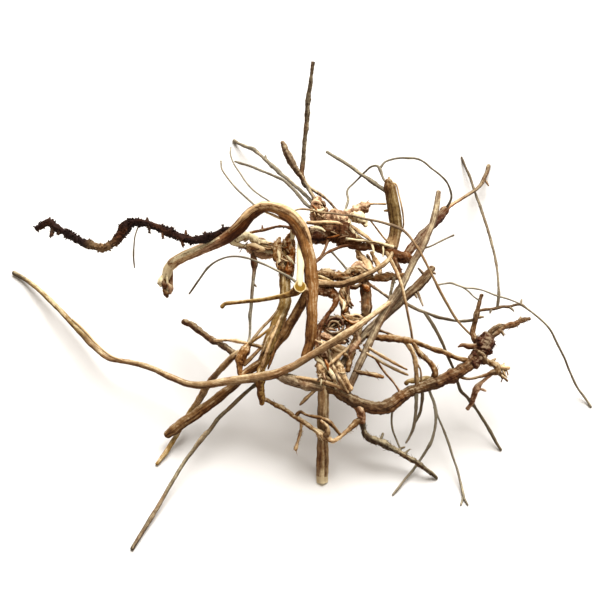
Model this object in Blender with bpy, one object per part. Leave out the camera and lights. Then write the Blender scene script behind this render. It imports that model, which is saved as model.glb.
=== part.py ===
"""Root clump: a dried tangle of woody roots that grew as one piece, lying on a flat surface.

Every strand follows a route. A route point gives where the strand is seen in the view
(across and down, in view pixels), its height above the surface in mm and its thickness
in mm. The view is one fixed line of sight onto the surface, so each route point has one
place in space. The clump rests on the foot of its cut stem and on the tips of its outer
strands. The origin is on the surface, in the middle of the clump's outline. Z is up.
"""

import math
import random

import bmesh
import bpy
from mathutils import Quaternion, Vector

MM = 0.001

# Driving sizes, in mm
CLUMP_REACH = 248.0  # tip of the long root on the left to tip of the long rootlet on the right
VIEW_DISTANCE = 900.0  # from the eye to the stem's foot
THINNEST = 0.65  # no strand is thinner
UNEVEN = 0.07  # how much the thickness wanders, as a share of it

# The view: 600 pixels wide, looking down at the surface
VIEW_TILT = math.radians(55.0)
VIEW_MIDDLE = 300.0
LEFT_TIP_PIXEL = 14.0
RIGHT_TIP_PIXEL = 591.0
FOOT_PIXEL = (322.0, 481.0)
FOOT = Vector((11.3, -77.4, 0.0))  # the stem's foot, in mm from the middle of the clump's outline
PIXEL = CLUMP_REACH / (RIGHT_TIP_PIXEL - LEFT_TIP_PIXEL)

# Facets, in mm: how finely a route is followed, most deviation of a strand from it, least gap
# between a ring and the one before, and sides by thickness
CURVE_STEP = 0.9
DEVIATION = 0.44
RING_GAP = 0.03
SIDES = ((5.4, 7), (4.0, 6), (2.4, 5), (0.0, 4))
OUT_OF_ROUND = 0.04  # how much a ring's reach varies, as a share of it

# A side bud: its thickness at the foot and at the tip, and where its middle is, as shares of
# its thickness and length, and how far the middle bends away in mm
BUD_FOOT = 1.1
BUD_TIP = 0.55
BUD_MIDDLE = 0.55
BUD_BEND = 0.2

# The dry bark, as a linear colour
BARK_COLOUR = (0.16, 0.09, 0.04, 1.0)
BARK_ROUGHNESS = 0.85

# Lengths below this count as none
NO_LENGTH = 1e-6
NO_DIRECTION = 1e-3

RIGHT = Vector((1.0, 0.0, 0.0))
UP = Vector((0.0, math.sin(VIEW_TILT), math.cos(VIEW_TILT)))
FORWARD = Vector((0.0, math.cos(VIEW_TILT), -math.sin(VIEW_TILT)))

# The long pale root: from its tip at the far left to where it grows into the crown
PALE_ROOTS = {
    "long_root": (
        (14, 273, 1.1, 2.2), (25, 279, 2.2, 2.2), (38, 289, 4, 2.2), (54, 304, 6, 2.4),
        (67, 318, 7.5, 2.6), (80, 331, 9, 3.0), (90, 342, 10.5, 3.0), (97, 349, 12, 3.0),
        (107, 358, 14, 2.2), (119, 361, 16, 2.2), (134, 363, 18, 2.2), (153, 369, 20, 2.6),
        (172, 378, 22.5, 2.8), (187, 384, 24.5, 3.0), (203, 385, 27, 3.4), (220, 382, 29.5, 3.4),
        (240, 380, 32, 3.9), (260, 377, 35.5, 4.3), (275, 374, 38.5, 4.3), (287, 369, 41, 3.4),
        (300, 362, 44, 3.0), (315, 353, 47, 3.4), (330, 344, 49.5, 3.4), (345, 335, 51, 3.4),
        (357, 327, 51, 3.0), (370, 317, 50, 2.6), (381, 309, 48.5, 2.2), (392, 301, 46.5, 1.7),
    ),
    "cut_branch": (
        (300, 287, 64, 6.0), (299, 288.5, 61.5, 4.5), (295, 292, 59, 3.6), (288, 295, 57.5, 2.6),
        (278, 297, 55.5, 1.9), (265, 299.5, 53, 1.7), (250, 301, 50, 1.7), (235, 302.5, 47, 1.7),
        (225, 304, 45, 1.7), (222, 307, 44, 1.9),
    ),
    "peeled_strip": (
        (303, 236, 70, 2.0), (300, 243, 66, 2.2), (299, 255, 65.5, 2.6), (299, 268, 65, 2.6),
        (299, 280, 64.5, 2.6), (299.5, 286, 63.5, 2.4),
    ),
    "pale_runner": (
        (217, 239, 61, 1.8), (224, 239.5, 60.5, 1.9), (234, 243, 59, 2.2), (246, 247, 56, 2.1),
        (258, 249.5, 54.5, 2.1), (270, 252, 53.5, 2.2), (280, 254, 53, 2.4), (285, 256, 53, 2.4),
    ),
    "pale_knobs": (
        (236, 241, 59.5, 2.2), (242, 237, 59.5, 2.8), (249, 235.5, 59, 2.8),
        (254, 240, 57.5, 2.6), (262, 243, 56, 3.0), (270, 247, 54.5, 3.2), (278, 250, 53.5, 3.0),
        (285, 252, 53.5, 2.6),
    ),
    "crown_bar": (
        (308, 226, 53, 1.6), (320, 222, 54.5, 1.7), (333, 221.5, 54.5, 1.7), (347, 226, 53, 1.6),
    ),
    "crown_bar_low": (
        (346, 239, 52, 1.8), (356, 240, 52, 1.7), (366, 241, 51.5, 1.7), (376, 242, 51, 1.7),
        (386, 245, 50, 2.0), (393, 247, 48, 2.0),
    ),
    "knuckle_high": (
        (342, 218, 54, 2.6), (349, 214, 55, 2.8), (356, 211, 56, 4.4), (363, 207, 57, 5.0),
        (368, 204, 57.5, 2.6),
    ),
    "knuckle_low": (
        (343, 219, 54, 2.4), (350, 215, 55, 2.6), (357, 217, 55.5, 4.6), (363, 221, 55, 3.6),
        (366, 226, 54, 1.6),
    ),
    "knuckle_hair": ((366, 204, 57.5, 1.0), (375, 204, 58.5, 0.8), (386, 204, 60, 0.9)),
    "arched_root": (
        (311, 285, 60, 2.4), (320, 284, 58, 2.8), (330, 284, 56.5, 2.4), (341, 283.5, 55.5, 2.2),
        (352, 280, 54.5, 2.2), (363, 275.5, 53.5, 2.2), (374, 270, 52.5, 2.2),
        (383, 264.5, 51, 2.2), (389, 259, 49.5, 2.0), (392, 253, 47.5, 1.8),
    ),
    "bowed_root": (
        (386, 252, 47, 1.8), (391, 261, 50, 1.7), (396, 271, 52, 1.7), (400, 281, 53, 1.6),
        (403, 291, 53, 1.5), (405, 301, 51.5, 1.3), (407, 311, 49, 1.1), (409, 321, 46, 1.1),
        (411, 331, 43, 1.1), (412.5, 341, 39.5, 1.2),
    ),
    "low_strand_1": (
        (313, 355, 44.5, 1.8), (319, 361, 44, 1.8), (325, 367, 43, 1.8), (331, 373, 42, 1.8),
        (335, 379, 40, 1.8), (337, 388, 35, 2.0),
    ),
    "low_strand_2": (
        (318, 363, 43, 2.6), (321, 371, 41, 3.4), (325, 379, 38, 3.0), (328, 386, 35.5, 2.4),
    ),
    "low_strand_3": (
        (338, 367, 39.5, 2.2), (342, 374, 39, 2.6), (347, 382, 36.5, 2.6), (351, 389, 34, 2.4),
    ),
    "cream_loop": (
        (321, 421, 27, 1.3), (327, 427, 26.5, 1.6), (327, 434, 24, 2.0), (323, 436, 22.5, 1.6),
    ),
    "end_knot": (
        (484, 357, 34, 2.6), (487, 361, 33.5, 2.6), (492, 363, 33.5, 2.6), (497, 367, 33, 2.6),
        (497, 372, 32, 2.6),
    ),
    "end_knot_tip": ((495, 366, 33, 1.8), (503, 367.5, 32.5, 1.6), (509, 368, 32, 1.9)),
}

# The dark, warty root and the dark strands of the crown
DARK_ROOTS = {
    "dark_root": (
        (37, 229, 40, 2.6), (43, 225, 41, 2.6), (49, 223, 42, 3.2), (55, 227, 42, 3.4),
        (62, 231, 42, 3.0), (71, 236, 42.5, 3.0), (82, 242, 43, 3.0), (93, 246, 44, 3.0),
        (104, 247.5, 45, 3.0), (112, 244, 46, 3.0), (119, 238, 47.5, 4.0), (123, 231, 49, 4.6),
        (127, 225, 50.5, 3.8), (136, 222, 52, 3.2), (147, 223.5, 53.5, 3.0),
        (158, 227.5, 54.5, 3.2), (170, 233, 56, 3.4), (182, 237.5, 57.5, 3.4),
        (193, 240, 59, 3.4), (203, 238.5, 60.5, 3.0), (212, 235.5, 62, 2.8),
        (222, 231, 63.5, 2.6), (233, 229, 66, 2.6),
    ),
    "dark_root_hair": (
        (139, 224, 52, 0.7), (135, 236, 49, 0.65), (134, 245, 46, 0.7), (133.5, 256, 42.5, 0.8),
        (134.5, 268, 38.5, 0.65),
    ),
    "crown": (
        (308, 235, 52, 5.0), (318, 236, 51, 6.5), (330, 234, 51, 8.0), (341, 234, 51, 8.0),
        (350, 238, 50, 6.0), (358, 243, 49, 4.5),
    ),
    "crown_arm": (
        (345, 243, 48.5, 3.6), (355, 246, 48, 3.6), (364, 247, 48, 3.4), (373, 247, 47.5, 3.4),
        (382, 250, 47, 3.4), (390, 253, 46.5, 4.2), (398, 256, 46, 5.0), (405, 258, 45.5, 4.4),
        (411, 259, 45.5, 3.0),
    ),
    "crown_arm_fork": (
        (392, 256, 46, 3.0), (396, 265, 45, 3.4), (399, 272, 44, 2.6), (401, 278, 43.5, 1.6),
    ),
    "crown_bough": (
        (311, 274, 60, 2.4), (316, 274, 56, 2.4), (322, 274, 52.5, 2.4), (332, 276, 50.5, 3.0),
        (343, 277, 49, 3.0), (353, 274, 48, 2.8), (362, 275, 47, 2.6), (372, 278, 46, 2.6),
        (382, 277, 45.5, 3.6), (393, 277, 45, 3.2), (401, 277, 45.5, 2.8), (407, 276, 48, 2.4),
    ),
    "inner_curve": (
        (313, 290, 58, 3.0), (322, 291, 54, 3.8), (330, 292, 52.5, 3.4), (336, 299, 51, 2.6),
        (333, 308, 50, 2.0), (328, 315, 49, 1.8), (322, 324, 48, 2.2), (318, 333, 47, 3.2),
        (317, 343, 45.5, 3.4), (318, 352, 44, 2.6),
    ),
    "inner_knot": (
        (320, 327, 46, 2.4), (325, 325, 45, 2.6), (332, 322, 45, 3.4), (340, 321, 45, 3.6),
        (349, 321, 45, 4.0), (357, 322, 44, 3.8), (365, 321, 43.5, 3.0),
    ),
    "inner_knot_low": (
        (325, 328, 45, 1.6), (330, 334, 46, 1.6), (337, 336, 46.5, 1.4), (344, 333, 46, 1.6),
        (350, 325, 45.5, 1.8),
    ),
    "dark_sliver": (
        (348, 224, 54, 1.2), (352, 227, 54, 1.3), (359, 232, 53.5, 1.3), (366, 237, 53, 1.2),
        (372, 241, 51.5, 1.0), (380, 244, 49.5, 1.0), (386, 247, 48, 1.0),
    ),
    "loop_twig": (
        (248, 233.5, 59, 1.3), (257, 231, 58.5, 1.3), (266, 229.5, 59, 1.2), (275, 227, 60, 1.3),
        (283, 226.5, 62.5, 1.4), (291, 228, 67, 1.2), (297, 228, 71, 1.2),
    ),
    "loop_twig_high": (
        (259, 208, 74, 1.0), (266, 212, 73, 1.0), (274, 215.5, 72, 1.1), (282, 219, 71.5, 1.1),
        (290, 221, 72, 1.2), (296, 222, 73, 1.1),
    ),
    "under_knobs": (
        (246, 247, 55.5, 1.6), (250, 251, 54.5, 1.8), (257, 254, 53, 2.6), (266, 255, 52.5, 2.8),
        (276, 252, 53, 3.0),
    ),
    "low_twig_1": (
        (365, 280, 47.5, 1.6), (372, 286, 48, 1.3), (380, 291.5, 47, 1.3), (389, 298, 46, 1.3),
        (393, 301, 45.5, 1.3),
    ),
    "low_twig_2": (
        (394, 278, 45.5, 1.4), (392, 287, 46, 1.3), (390, 296, 46, 1.2), (388, 303, 46, 1.2),
    ),
}

# The looped root and the brown side roots
BROWN_ROOTS = {
    "loop_root": (
        (166, 294, 30, 3.4), (168, 288, 32, 4.3), (166, 277, 36, 4.3), (168, 268, 40, 4.3),
        (174, 262, 43, 4.5), (183, 257, 47, 4.7), (192, 253, 50.5, 4.7), (203, 248, 54, 4.7),
        (215, 243, 58, 5.0), (226, 238, 62, 5.2), (237, 230, 66, 5.6), (245, 222, 69, 5.6),
        (252, 214, 72, 5.4), (259, 209, 74, 4.9), (266, 206.5, 75.5, 4.5), (275, 208, 76, 4.7),
        (284, 212, 75.5, 5.0), (292, 218, 74.5, 5.2), (298, 224, 73, 5.2), (303, 232, 71, 5.2),
        (306, 241, 69, 5.2), (308, 251, 67, 5.4), (310, 262, 64.5, 5.6), (311, 275, 62, 5.4),
        (312, 290, 59, 5.0), (312, 305, 56, 4.7), (312, 318, 53, 4.7), (311, 332, 49, 4.7),
        (309, 345, 45, 4.5), (305, 357, 42, 4.0),
    ),
    "torn_splinter_1": (
        (169, 286, 33, 2.0), (165, 290, 32, 1.7), (161, 288, 32.5, 1.1), (157, 284, 33.5, 0.7),
    ),
    "torn_splinter_2": ((169, 278, 36, 2.0), (171, 286, 33, 1.6), (172, 293, 31, 0.8)),
    "drop_root": (
        (297, 228, 70, 2.8), (293, 233, 61, 2.8), (289, 240, 56.5, 4.0), (287, 246, 55, 5.2),
        (285, 254, 54, 7.4), (284, 262, 53, 7.0), (285, 270, 52, 4.7), (284, 280, 51, 3.9),
        (283, 292, 50, 3.9), (284, 302, 49, 3.9), (282, 312, 47, 4.7), (277, 324, 45, 5.6),
        (273, 336, 43, 5.6), (270, 346, 41, 5.2), (266, 357, 38, 4.3), (262, 367, 35, 3.4),
        (259, 377, 34, 3.0),
    ),
    "splayed_root": (
        (307, 290, 60, 2.8), (302, 303, 55, 3.9), (297, 313, 52, 4.3), (291, 323, 49, 4.3),
        (285, 333, 46, 3.9), (278, 343, 42, 3.4), (270, 352, 38, 3.4), (262, 361, 34, 3.9),
        (252, 369, 30, 3.9), (243, 377, 27, 3.9), (233, 386, 23.5, 3.9), (222, 395, 20.5, 3.9),
        (210, 404, 17.5, 3.9), (197, 413, 14.5, 4.3), (184, 422, 11.5, 4.7), (174, 430, 9, 4.7),
        (167, 435, 7, 3.4),
    ),
    "splayed_root_thin": (
        (240, 353, 36, 2.6), (232, 358, 33.5, 2.2), (224, 365, 30, 2.2), (216, 373, 25, 1.9),
        (210, 379, 20.5, 1.9), (204, 388, 16.5, 2.6), (199, 397, 13, 2.6), (193, 406, 10, 2.2),
        (187, 416, 7.5, 2.2), (181, 427, 5.5, 2.2), (175, 438, 4, 2.2), (168, 449, 2.5, 2.2),
        (160, 460, 1.4, 1.9), (157, 464, 0.8, 1.7),
    ),
    "orange_stub": (
        (248, 345, 38, 2.4), (244, 353, 37, 4.6), (241, 361, 35, 4.6), (240, 368, 33.5, 3.0),
        (241, 376, 32, 2.4),
    ),
    "orange_twig": (
        (267, 343, 40.5, 1.6), (262, 347, 38.5, 1.4), (256, 353, 37.5, 1.6), (250, 359, 36, 1.8),
        (244, 365, 34.5, 1.6),
    ),
    "brace_root": (
        (264, 360, 37, 2.4), (255, 366, 34.5, 3.0), (247, 371, 32.5, 2.6), (241, 376, 32, 2.4),
    ),
    "pair_strand_1": (
        (283, 304, 48.5, 1.4), (277, 312, 47.5, 1.2), (270, 320, 46, 1.2), (263, 327, 44.5, 1.2),
        (257, 334, 43, 1.3), (250, 343, 40, 1.4),
    ),
    "pair_strand_2": (
        (278, 322, 45, 1.2), (271, 328, 45, 1.2), (263, 334, 43.5, 1.2), (256, 339, 42, 1.2),
        (249, 344, 39, 1.4),
    ),
    "upper_knot": (
        (318, 199, 58, 3.0), (317, 207, 57.5, 5.5), (319, 216, 55, 6.4), (329, 219, 54, 5.6),
        (339, 219, 54, 5.4), (346, 220, 54, 3.0),
    ),
    "knot_link": ((344, 218, 54.5, 2.4), (345, 224, 54, 2.2), (345, 234, 51.5, 2.4)),
    "crown_leg_1": (
        (360, 273, 47.5, 2.4), (365, 283, 48, 3.6), (367, 293, 47, 3.8), (367, 304, 46, 3.8),
        (366, 314, 45, 3.8), (364, 322, 43.5, 3.2),
    ),
    "crown_leg_1_side": (
        (359, 275, 47.5, 1.4), (361.5, 290, 46.5, 1.2), (362, 303, 46, 1.0), (363, 314, 45, 1.0),
    ),
    "crown_leg_2": (
        (350, 272, 48, 2.4), (346, 283, 47.5, 3.2), (344, 293, 47, 3.4), (345, 303, 46, 3.6),
        (345, 313, 45, 3.4), (348, 322, 44.5, 3.2),
    ),
    "slant_root": (
        (432, 268, 46.5, 3.0), (427, 276, 46, 4.2), (420, 284, 45, 4.3), (412, 291, 44.5, 4.2),
        (403, 299, 43.5, 3.9), (394, 308, 42.5, 3.6), (384, 317, 41.5, 3.6), (373, 327, 41, 3.9),
        (364, 335, 40.5, 3.9), (356, 343, 40, 3.6), (350, 352, 39.5, 3.4), (344, 362, 39, 3.4),
        (338, 371, 38.5, 3.0), (332, 378, 38, 2.6), (326, 385, 36.5, 2.4),
    ),
    "far_root": (
        (489, 166, 0.9, 2.0), (487, 172, 3.5, 2.0), (484, 179, 7, 1.9), (480, 186, 11, 1.7),
        (474, 191, 15, 1.5), (466, 196, 19, 1.4), (458, 201, 23.5, 1.5), (450, 206, 28, 1.8),
        (444, 212, 32, 3.6), (438, 219, 35.5, 3.8), (430, 228, 39, 3.6), (422, 237, 42, 3.8),
        (414, 245, 44.5, 4.0), (407, 253, 45.5, 3.4), (402, 258, 45.5, 3.0),
    ),
    "mid_root": (
        (366, 336, 40.5, 2.4), (376, 337, 41, 2.6), (386, 338.5, 41, 2.6), (396, 339, 40.5, 2.6),
        (404, 340, 40, 2.6), (414, 342.5, 39.5, 2.2), (424, 346, 39, 1.9), (434, 349.5, 38, 1.9),
        (445, 353, 37, 2.0), (454, 357, 36, 2.0), (462, 359.5, 35, 1.9), (470, 360, 34, 2.2),
        (476, 359, 33.5, 2.4),
    ),
    "mid_root_upper": (
        (370, 329, 41, 1.4), (375, 330, 41.5, 1.3), (381, 331, 42, 1.3), (389, 334, 41.5, 1.2),
        (397, 337.5, 40.5, 1.2),
    ),
    "mid_fork": (
        (403, 340, 40, 2.2), (408, 345, 39, 2.0), (412.5, 353, 38, 2.0), (415, 362, 36.5, 2.0),
        (416, 372, 34, 1.6), (417, 389, 28.5, 1.8),
    ),
    "curl": (
        (413, 343, 39.5, 1.8), (417, 350, 38.5, 2.2), (422, 356, 37.5, 2.4),
        (427, 360, 36.5, 2.2), (432, 365, 35, 2.4), (434.5, 372, 33.5, 2.6),
        (434, 380, 30.5, 2.6),
    ),
    "curl_hair": (
        (415, 361, 36.5, 1.0), (420, 369, 34, 0.9), (421, 376, 32, 0.9), (421, 386, 29, 1.0),
    ),
    "low_twig_3": (
        (360, 350, 40, 1.4), (366, 353, 40.5, 1.3), (373, 357, 40.5, 1.1),
        (381, 361.5, 39.5, 1.1), (390, 366.5, 38, 1.1), (399, 371, 36.5, 1.1),
        (408, 375, 35, 0.9),
    ),
    "low_twig_4": (
        (364, 345, 41, 1.5), (372, 350, 41.5, 1.3), (382, 356, 41.5, 1.5), (391, 361, 40.5, 1.4),
        (399, 365.5, 39.5, 1.2), (407, 369.5, 38, 0.9),
    ),
    "low_twig_5": (
        (376, 359, 39.5, 1.2), (381, 367, 36, 1.2), (387, 375, 34, 1.0), (393, 382, 31.5, 1.0),
        (401, 394, 27.5, 1.3),
    ),
    "orange_chunk": (
        (354, 371, 38, 2.2), (364, 373, 38, 2.0), (373, 374.5, 37.5, 2.4), (383, 377, 35, 1.6),
    ),
    "straight_root": (
        (262, 376, 36, 2.0), (258, 383, 31, 1.8), (250, 389, 27, 1.7), (240, 398, 23, 1.7),
        (230, 408, 19, 1.7), (218, 419, 15.5, 1.7), (210, 430, 12.5, 1.8), (206, 434, 12, 2.3),
        (187, 458, 8, 1.7), (168, 489, 4.5, 1.8), (149, 521, 2.2, 1.8), (132, 549, 0.8, 1.7),
    ),
}

# The knobbly rhizome on the right and the grey and olive roots
GREY_ROOTS = {
    "rhizome": (
        (277, 375, 37.5, 3.0), (286, 378, 37.5, 4.6), (297, 381, 37, 4.8), (308, 384, 36, 4.4),
        (320, 387, 35, 4.2), (333, 390, 33.5, 4.2), (344, 395, 31, 4.8), (354, 401, 28.5, 5.2),
        (364, 405, 26.5, 5.2), (374, 408, 25.5, 5.2), (384, 408, 25, 5.8), (392, 404, 25.5, 5.6),
        (400, 398, 26.5, 5.2), (409, 392, 27.5, 4.6), (420, 388, 28.5, 4.8),
        (431, 384, 29.5, 5.0), (442, 380, 30.5, 5.0), (453, 375, 31.5, 5.2),
        (463, 369, 32.5, 5.2), (472, 363, 33.5, 5.2), (480, 357, 34, 6.5), (484, 349, 34.5, 8.5),
        (482, 341, 35, 7.0), (480, 336, 35.5, 4.0),
    ),
    "rhizome_shoot": (
        (477, 341, 35.5, 3.4), (473, 334, 37, 2.4), (474, 325, 39, 2.4), (476, 317, 41, 2.2),
        (478, 308, 42.5, 1.8), (480, 301, 43.5, 1.7), (481.5, 295, 44, 1.8),
    ),
    "rhizome_hook": (
        (486, 341, 35.5, 3.4), (491, 337, 35.5, 2.6), (497, 333, 35.5, 2.4),
        (501, 329, 35.5, 2.4), (508, 326, 35, 2.0), (515, 324.5, 34.5, 1.9),
        (522, 320.5, 34, 2.0), (530, 319, 33.5, 1.4),
    ),
    "rhizome_hook_loop": (
        (489, 337, 36, 1.6), (490, 330, 37.5, 1.3), (494, 325.5, 38, 1.2), (499, 325, 37, 1.2),
        (504, 329, 35.5, 1.4),
    ),
    "knob_spur": (
        (477, 346, 36, 2.8), (469, 346.5, 37, 2.4), (463, 345, 37.5, 1.8), (458, 347, 37.5, 0.8),
    ),
    "rhizome_under": (
        (456, 374, 31.5, 2.2), (462, 377.5, 30.5, 2.2), (468, 379, 30.5, 2.0),
        (477, 377.5, 30.5, 1.9), (486, 375, 31, 1.9), (494, 372, 31.8, 2.4),
        (499, 373, 31.5, 2.4), (503, 378, 30, 1.2),
    ),
    "rhizome_twig": (
        (494, 373, 31.5, 1.6), (487, 378, 29.5, 1.4), (481, 383, 27.5, 1.4), (477, 388, 25, 2.0),
        (474.5, 395, 21, 2.2), (472.5, 402, 16.5, 2.4), (469, 407, 14, 1.2),
        (467.5, 409, 13, 1.4),
    ),
    "olive_end": (
        (406, 384, 29.5, 2.0), (408, 381.5, 31, 1.6), (413, 381, 30.5, 2.0), (420, 380, 30, 2.2),
        (427, 378, 30.5, 1.8), (433, 380, 30.5, 1.6),
    ),
    "upright_root": (
        (389, 181, 67, 3.2), (390, 187, 65, 5.2), (392, 199, 61, 5.4), (394, 212, 56.5, 5.6),
        (395.5, 226, 51.5, 5.6), (394, 237, 48, 5.8), (391, 247, 45.5, 6.5), (389, 253, 45, 4.0),
    ),
    "upright_hair": (
        (393, 183, 66, 1.0), (396, 184, 66, 0.8), (399, 195, 63, 0.8), (401.5, 206, 60, 0.8),
        (403, 216, 56, 0.8), (403, 227, 52, 0.8), (398, 236, 48.5, 1.0),
    ),
    "grey_root": (
        (438.5, 192, 58, 2.2), (437.5, 201, 57, 2.6), (436, 211, 56, 2.8), (433, 221, 55, 3.0),
        (429, 231, 54, 3.2), (425, 241, 53, 3.4), (420, 251, 52, 3.4), (414, 261, 51, 3.0),
        (409, 271, 50, 2.8), (404, 281, 49, 3.0), (399, 291, 48, 3.6), (392, 301, 46.5, 3.8),
        (386, 310, 45, 3.8), (380, 321, 43.5, 3.6), (375, 331, 42.5, 3.6), (370, 341, 41.5, 3.4),
        (365, 352, 40, 3.2), (360, 363, 38.5, 3.2), (356, 373, 37, 3.2), (352, 382, 35, 3.2),
        (347, 394, 31.5, 3.0),
    ),
    "left_root": (
        (184, 321.5, 17, 2.4), (190, 324, 19, 2.8), (197, 329, 21.5, 2.6), (204, 334, 24, 2.6),
        (211, 339, 26, 2.8), (218, 342.5, 28.5, 2.4), (225, 347, 31, 2.4), (232, 352, 33.5, 2.4),
        (241, 357, 35.5, 3.4),
    ),
    "left_root_upper": (
        (214, 341, 27.5, 1.4), (220, 340.5, 32, 1.2), (228, 340.5, 35.5, 1.2),
        (236, 341, 37, 1.5), (245, 343, 37.5, 1.5), (254, 345, 38, 1.6), (262, 347.5, 39, 1.6),
        (269, 350, 39.5, 2.0),
    ),
    "hanging_root": (
        (252, 248, 55, 1.8), (253, 256, 53, 2.6), (254, 264, 51.5, 3.2), (254, 271, 50, 1.8),
        (253, 281, 48.5, 1.5), (252, 291, 47, 1.5), (251.5, 300, 45, 1.1), (251, 308, 43, 1.1),
        (250, 315, 41.5, 1.7), (250, 325, 39.5, 1.2), (249.5, 336, 38, 1.1),
        (248, 344, 37.5, 1.4),
    ),
    "front_stub": (
        (261, 376, 35.5, 4.2), (261, 387, 32.5, 3.6), (261.5, 396, 29.5, 3.4),
        (262, 404, 26.5, 2.2),
    ),
    "front_root": (
        (262, 399, 28, 2.2), (268, 401, 27, 2.0), (276, 405, 26, 2.0), (285, 410, 25, 1.9),
        (294, 416, 24, 1.8), (303, 422, 23.5, 1.9), (312, 428, 23, 1.8), (320, 433.5, 22.5, 2.2),
        (327, 438, 22, 1.8), (333, 441, 21.5, 1.7), (341, 436, 22, 1.8), (349, 429, 22, 2.0),
        (357, 422, 22, 2.2), (363, 418, 22.5, 2.4),
    ),
    "front_root_upper": (
        (295, 417, 24, 1.2), (300, 412, 25.5, 1.1), (306, 415, 26.5, 1.3), (314, 416.5, 27, 1.5),
        (321, 418, 27, 1.7), (328, 421.5, 27, 1.6), (333, 426, 25.5, 1.4), (337, 431, 23.5, 1.5),
        (341, 436, 22, 1.5),
    ),
    "front_twig": (
        (301, 420, 23.5, 1.3), (301, 427, 21, 1.2), (300, 434, 18, 1.1), (298, 441, 16, 1.1),
        (296, 450, 13.5, 1.7),
    ),
    "front_spur": (
        (318, 387, 35, 1.8), (310, 395, 33, 1.5), (303, 402, 31, 1.5), (300, 405, 30, 1.0),
    ),
    "fork_base": (
        (353, 401, 28, 3.6), (359, 409, 26, 3.8), (362, 416, 23.5, 3.9), (362, 422, 21.5, 3.2),
    ),
    "forward_root": (
        (362, 420, 22, 2.4), (363.5, 429, 19, 2.4), (368, 437, 16.5, 2.8), (376, 440.5, 15, 2.8),
        (384, 444, 13.5, 2.6), (392, 448.5, 11.5, 2.4), (400, 453, 10, 2.2),
        (408, 457.5, 8.5, 2.1), (416, 462, 7, 2.0), (424, 468, 5, 1.8), (431, 473, 3, 1.8),
        (437, 478, 0.7, 1.5),
    ),
    "tall_twig": (
        (313, 62, 84, 1.7), (311, 80, 80, 1.8), (309, 97, 76, 2.2), (307.5, 113, 72.5, 2.2),
        (306, 128, 69, 2.1), (304.5, 142, 66, 1.9), (303.5, 156, 63, 1.8),
        (302.5, 168, 60.5, 2.2), (302, 178, 58.5, 2.4), (306, 187, 57, 2.0),
    ),
    "tall_twig_fork": (
        (282, 142, 70, 1.6), (285, 149, 68, 2.6), (290, 159, 65, 3.2), (295, 167, 62.5, 3.0),
        (300, 175, 60, 2.4), (303, 180, 58.5, 2.0),
    ),
    "tall_twig_root_1": (
        (302, 178, 58.5, 1.8), (310, 188, 57.5, 1.5), (320, 194.5, 57, 1.3),
        (326, 199, 56.5, 1.2), (333, 206, 55.5, 1.1), (338, 216, 54.5, 1.3),
    ),
    "tall_twig_root_2": (
        (303, 181, 58, 1.6), (309, 190, 57.5, 1.6), (314, 198, 57.5, 1.8), (317, 207, 57, 2.0),
    ),
}

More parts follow.
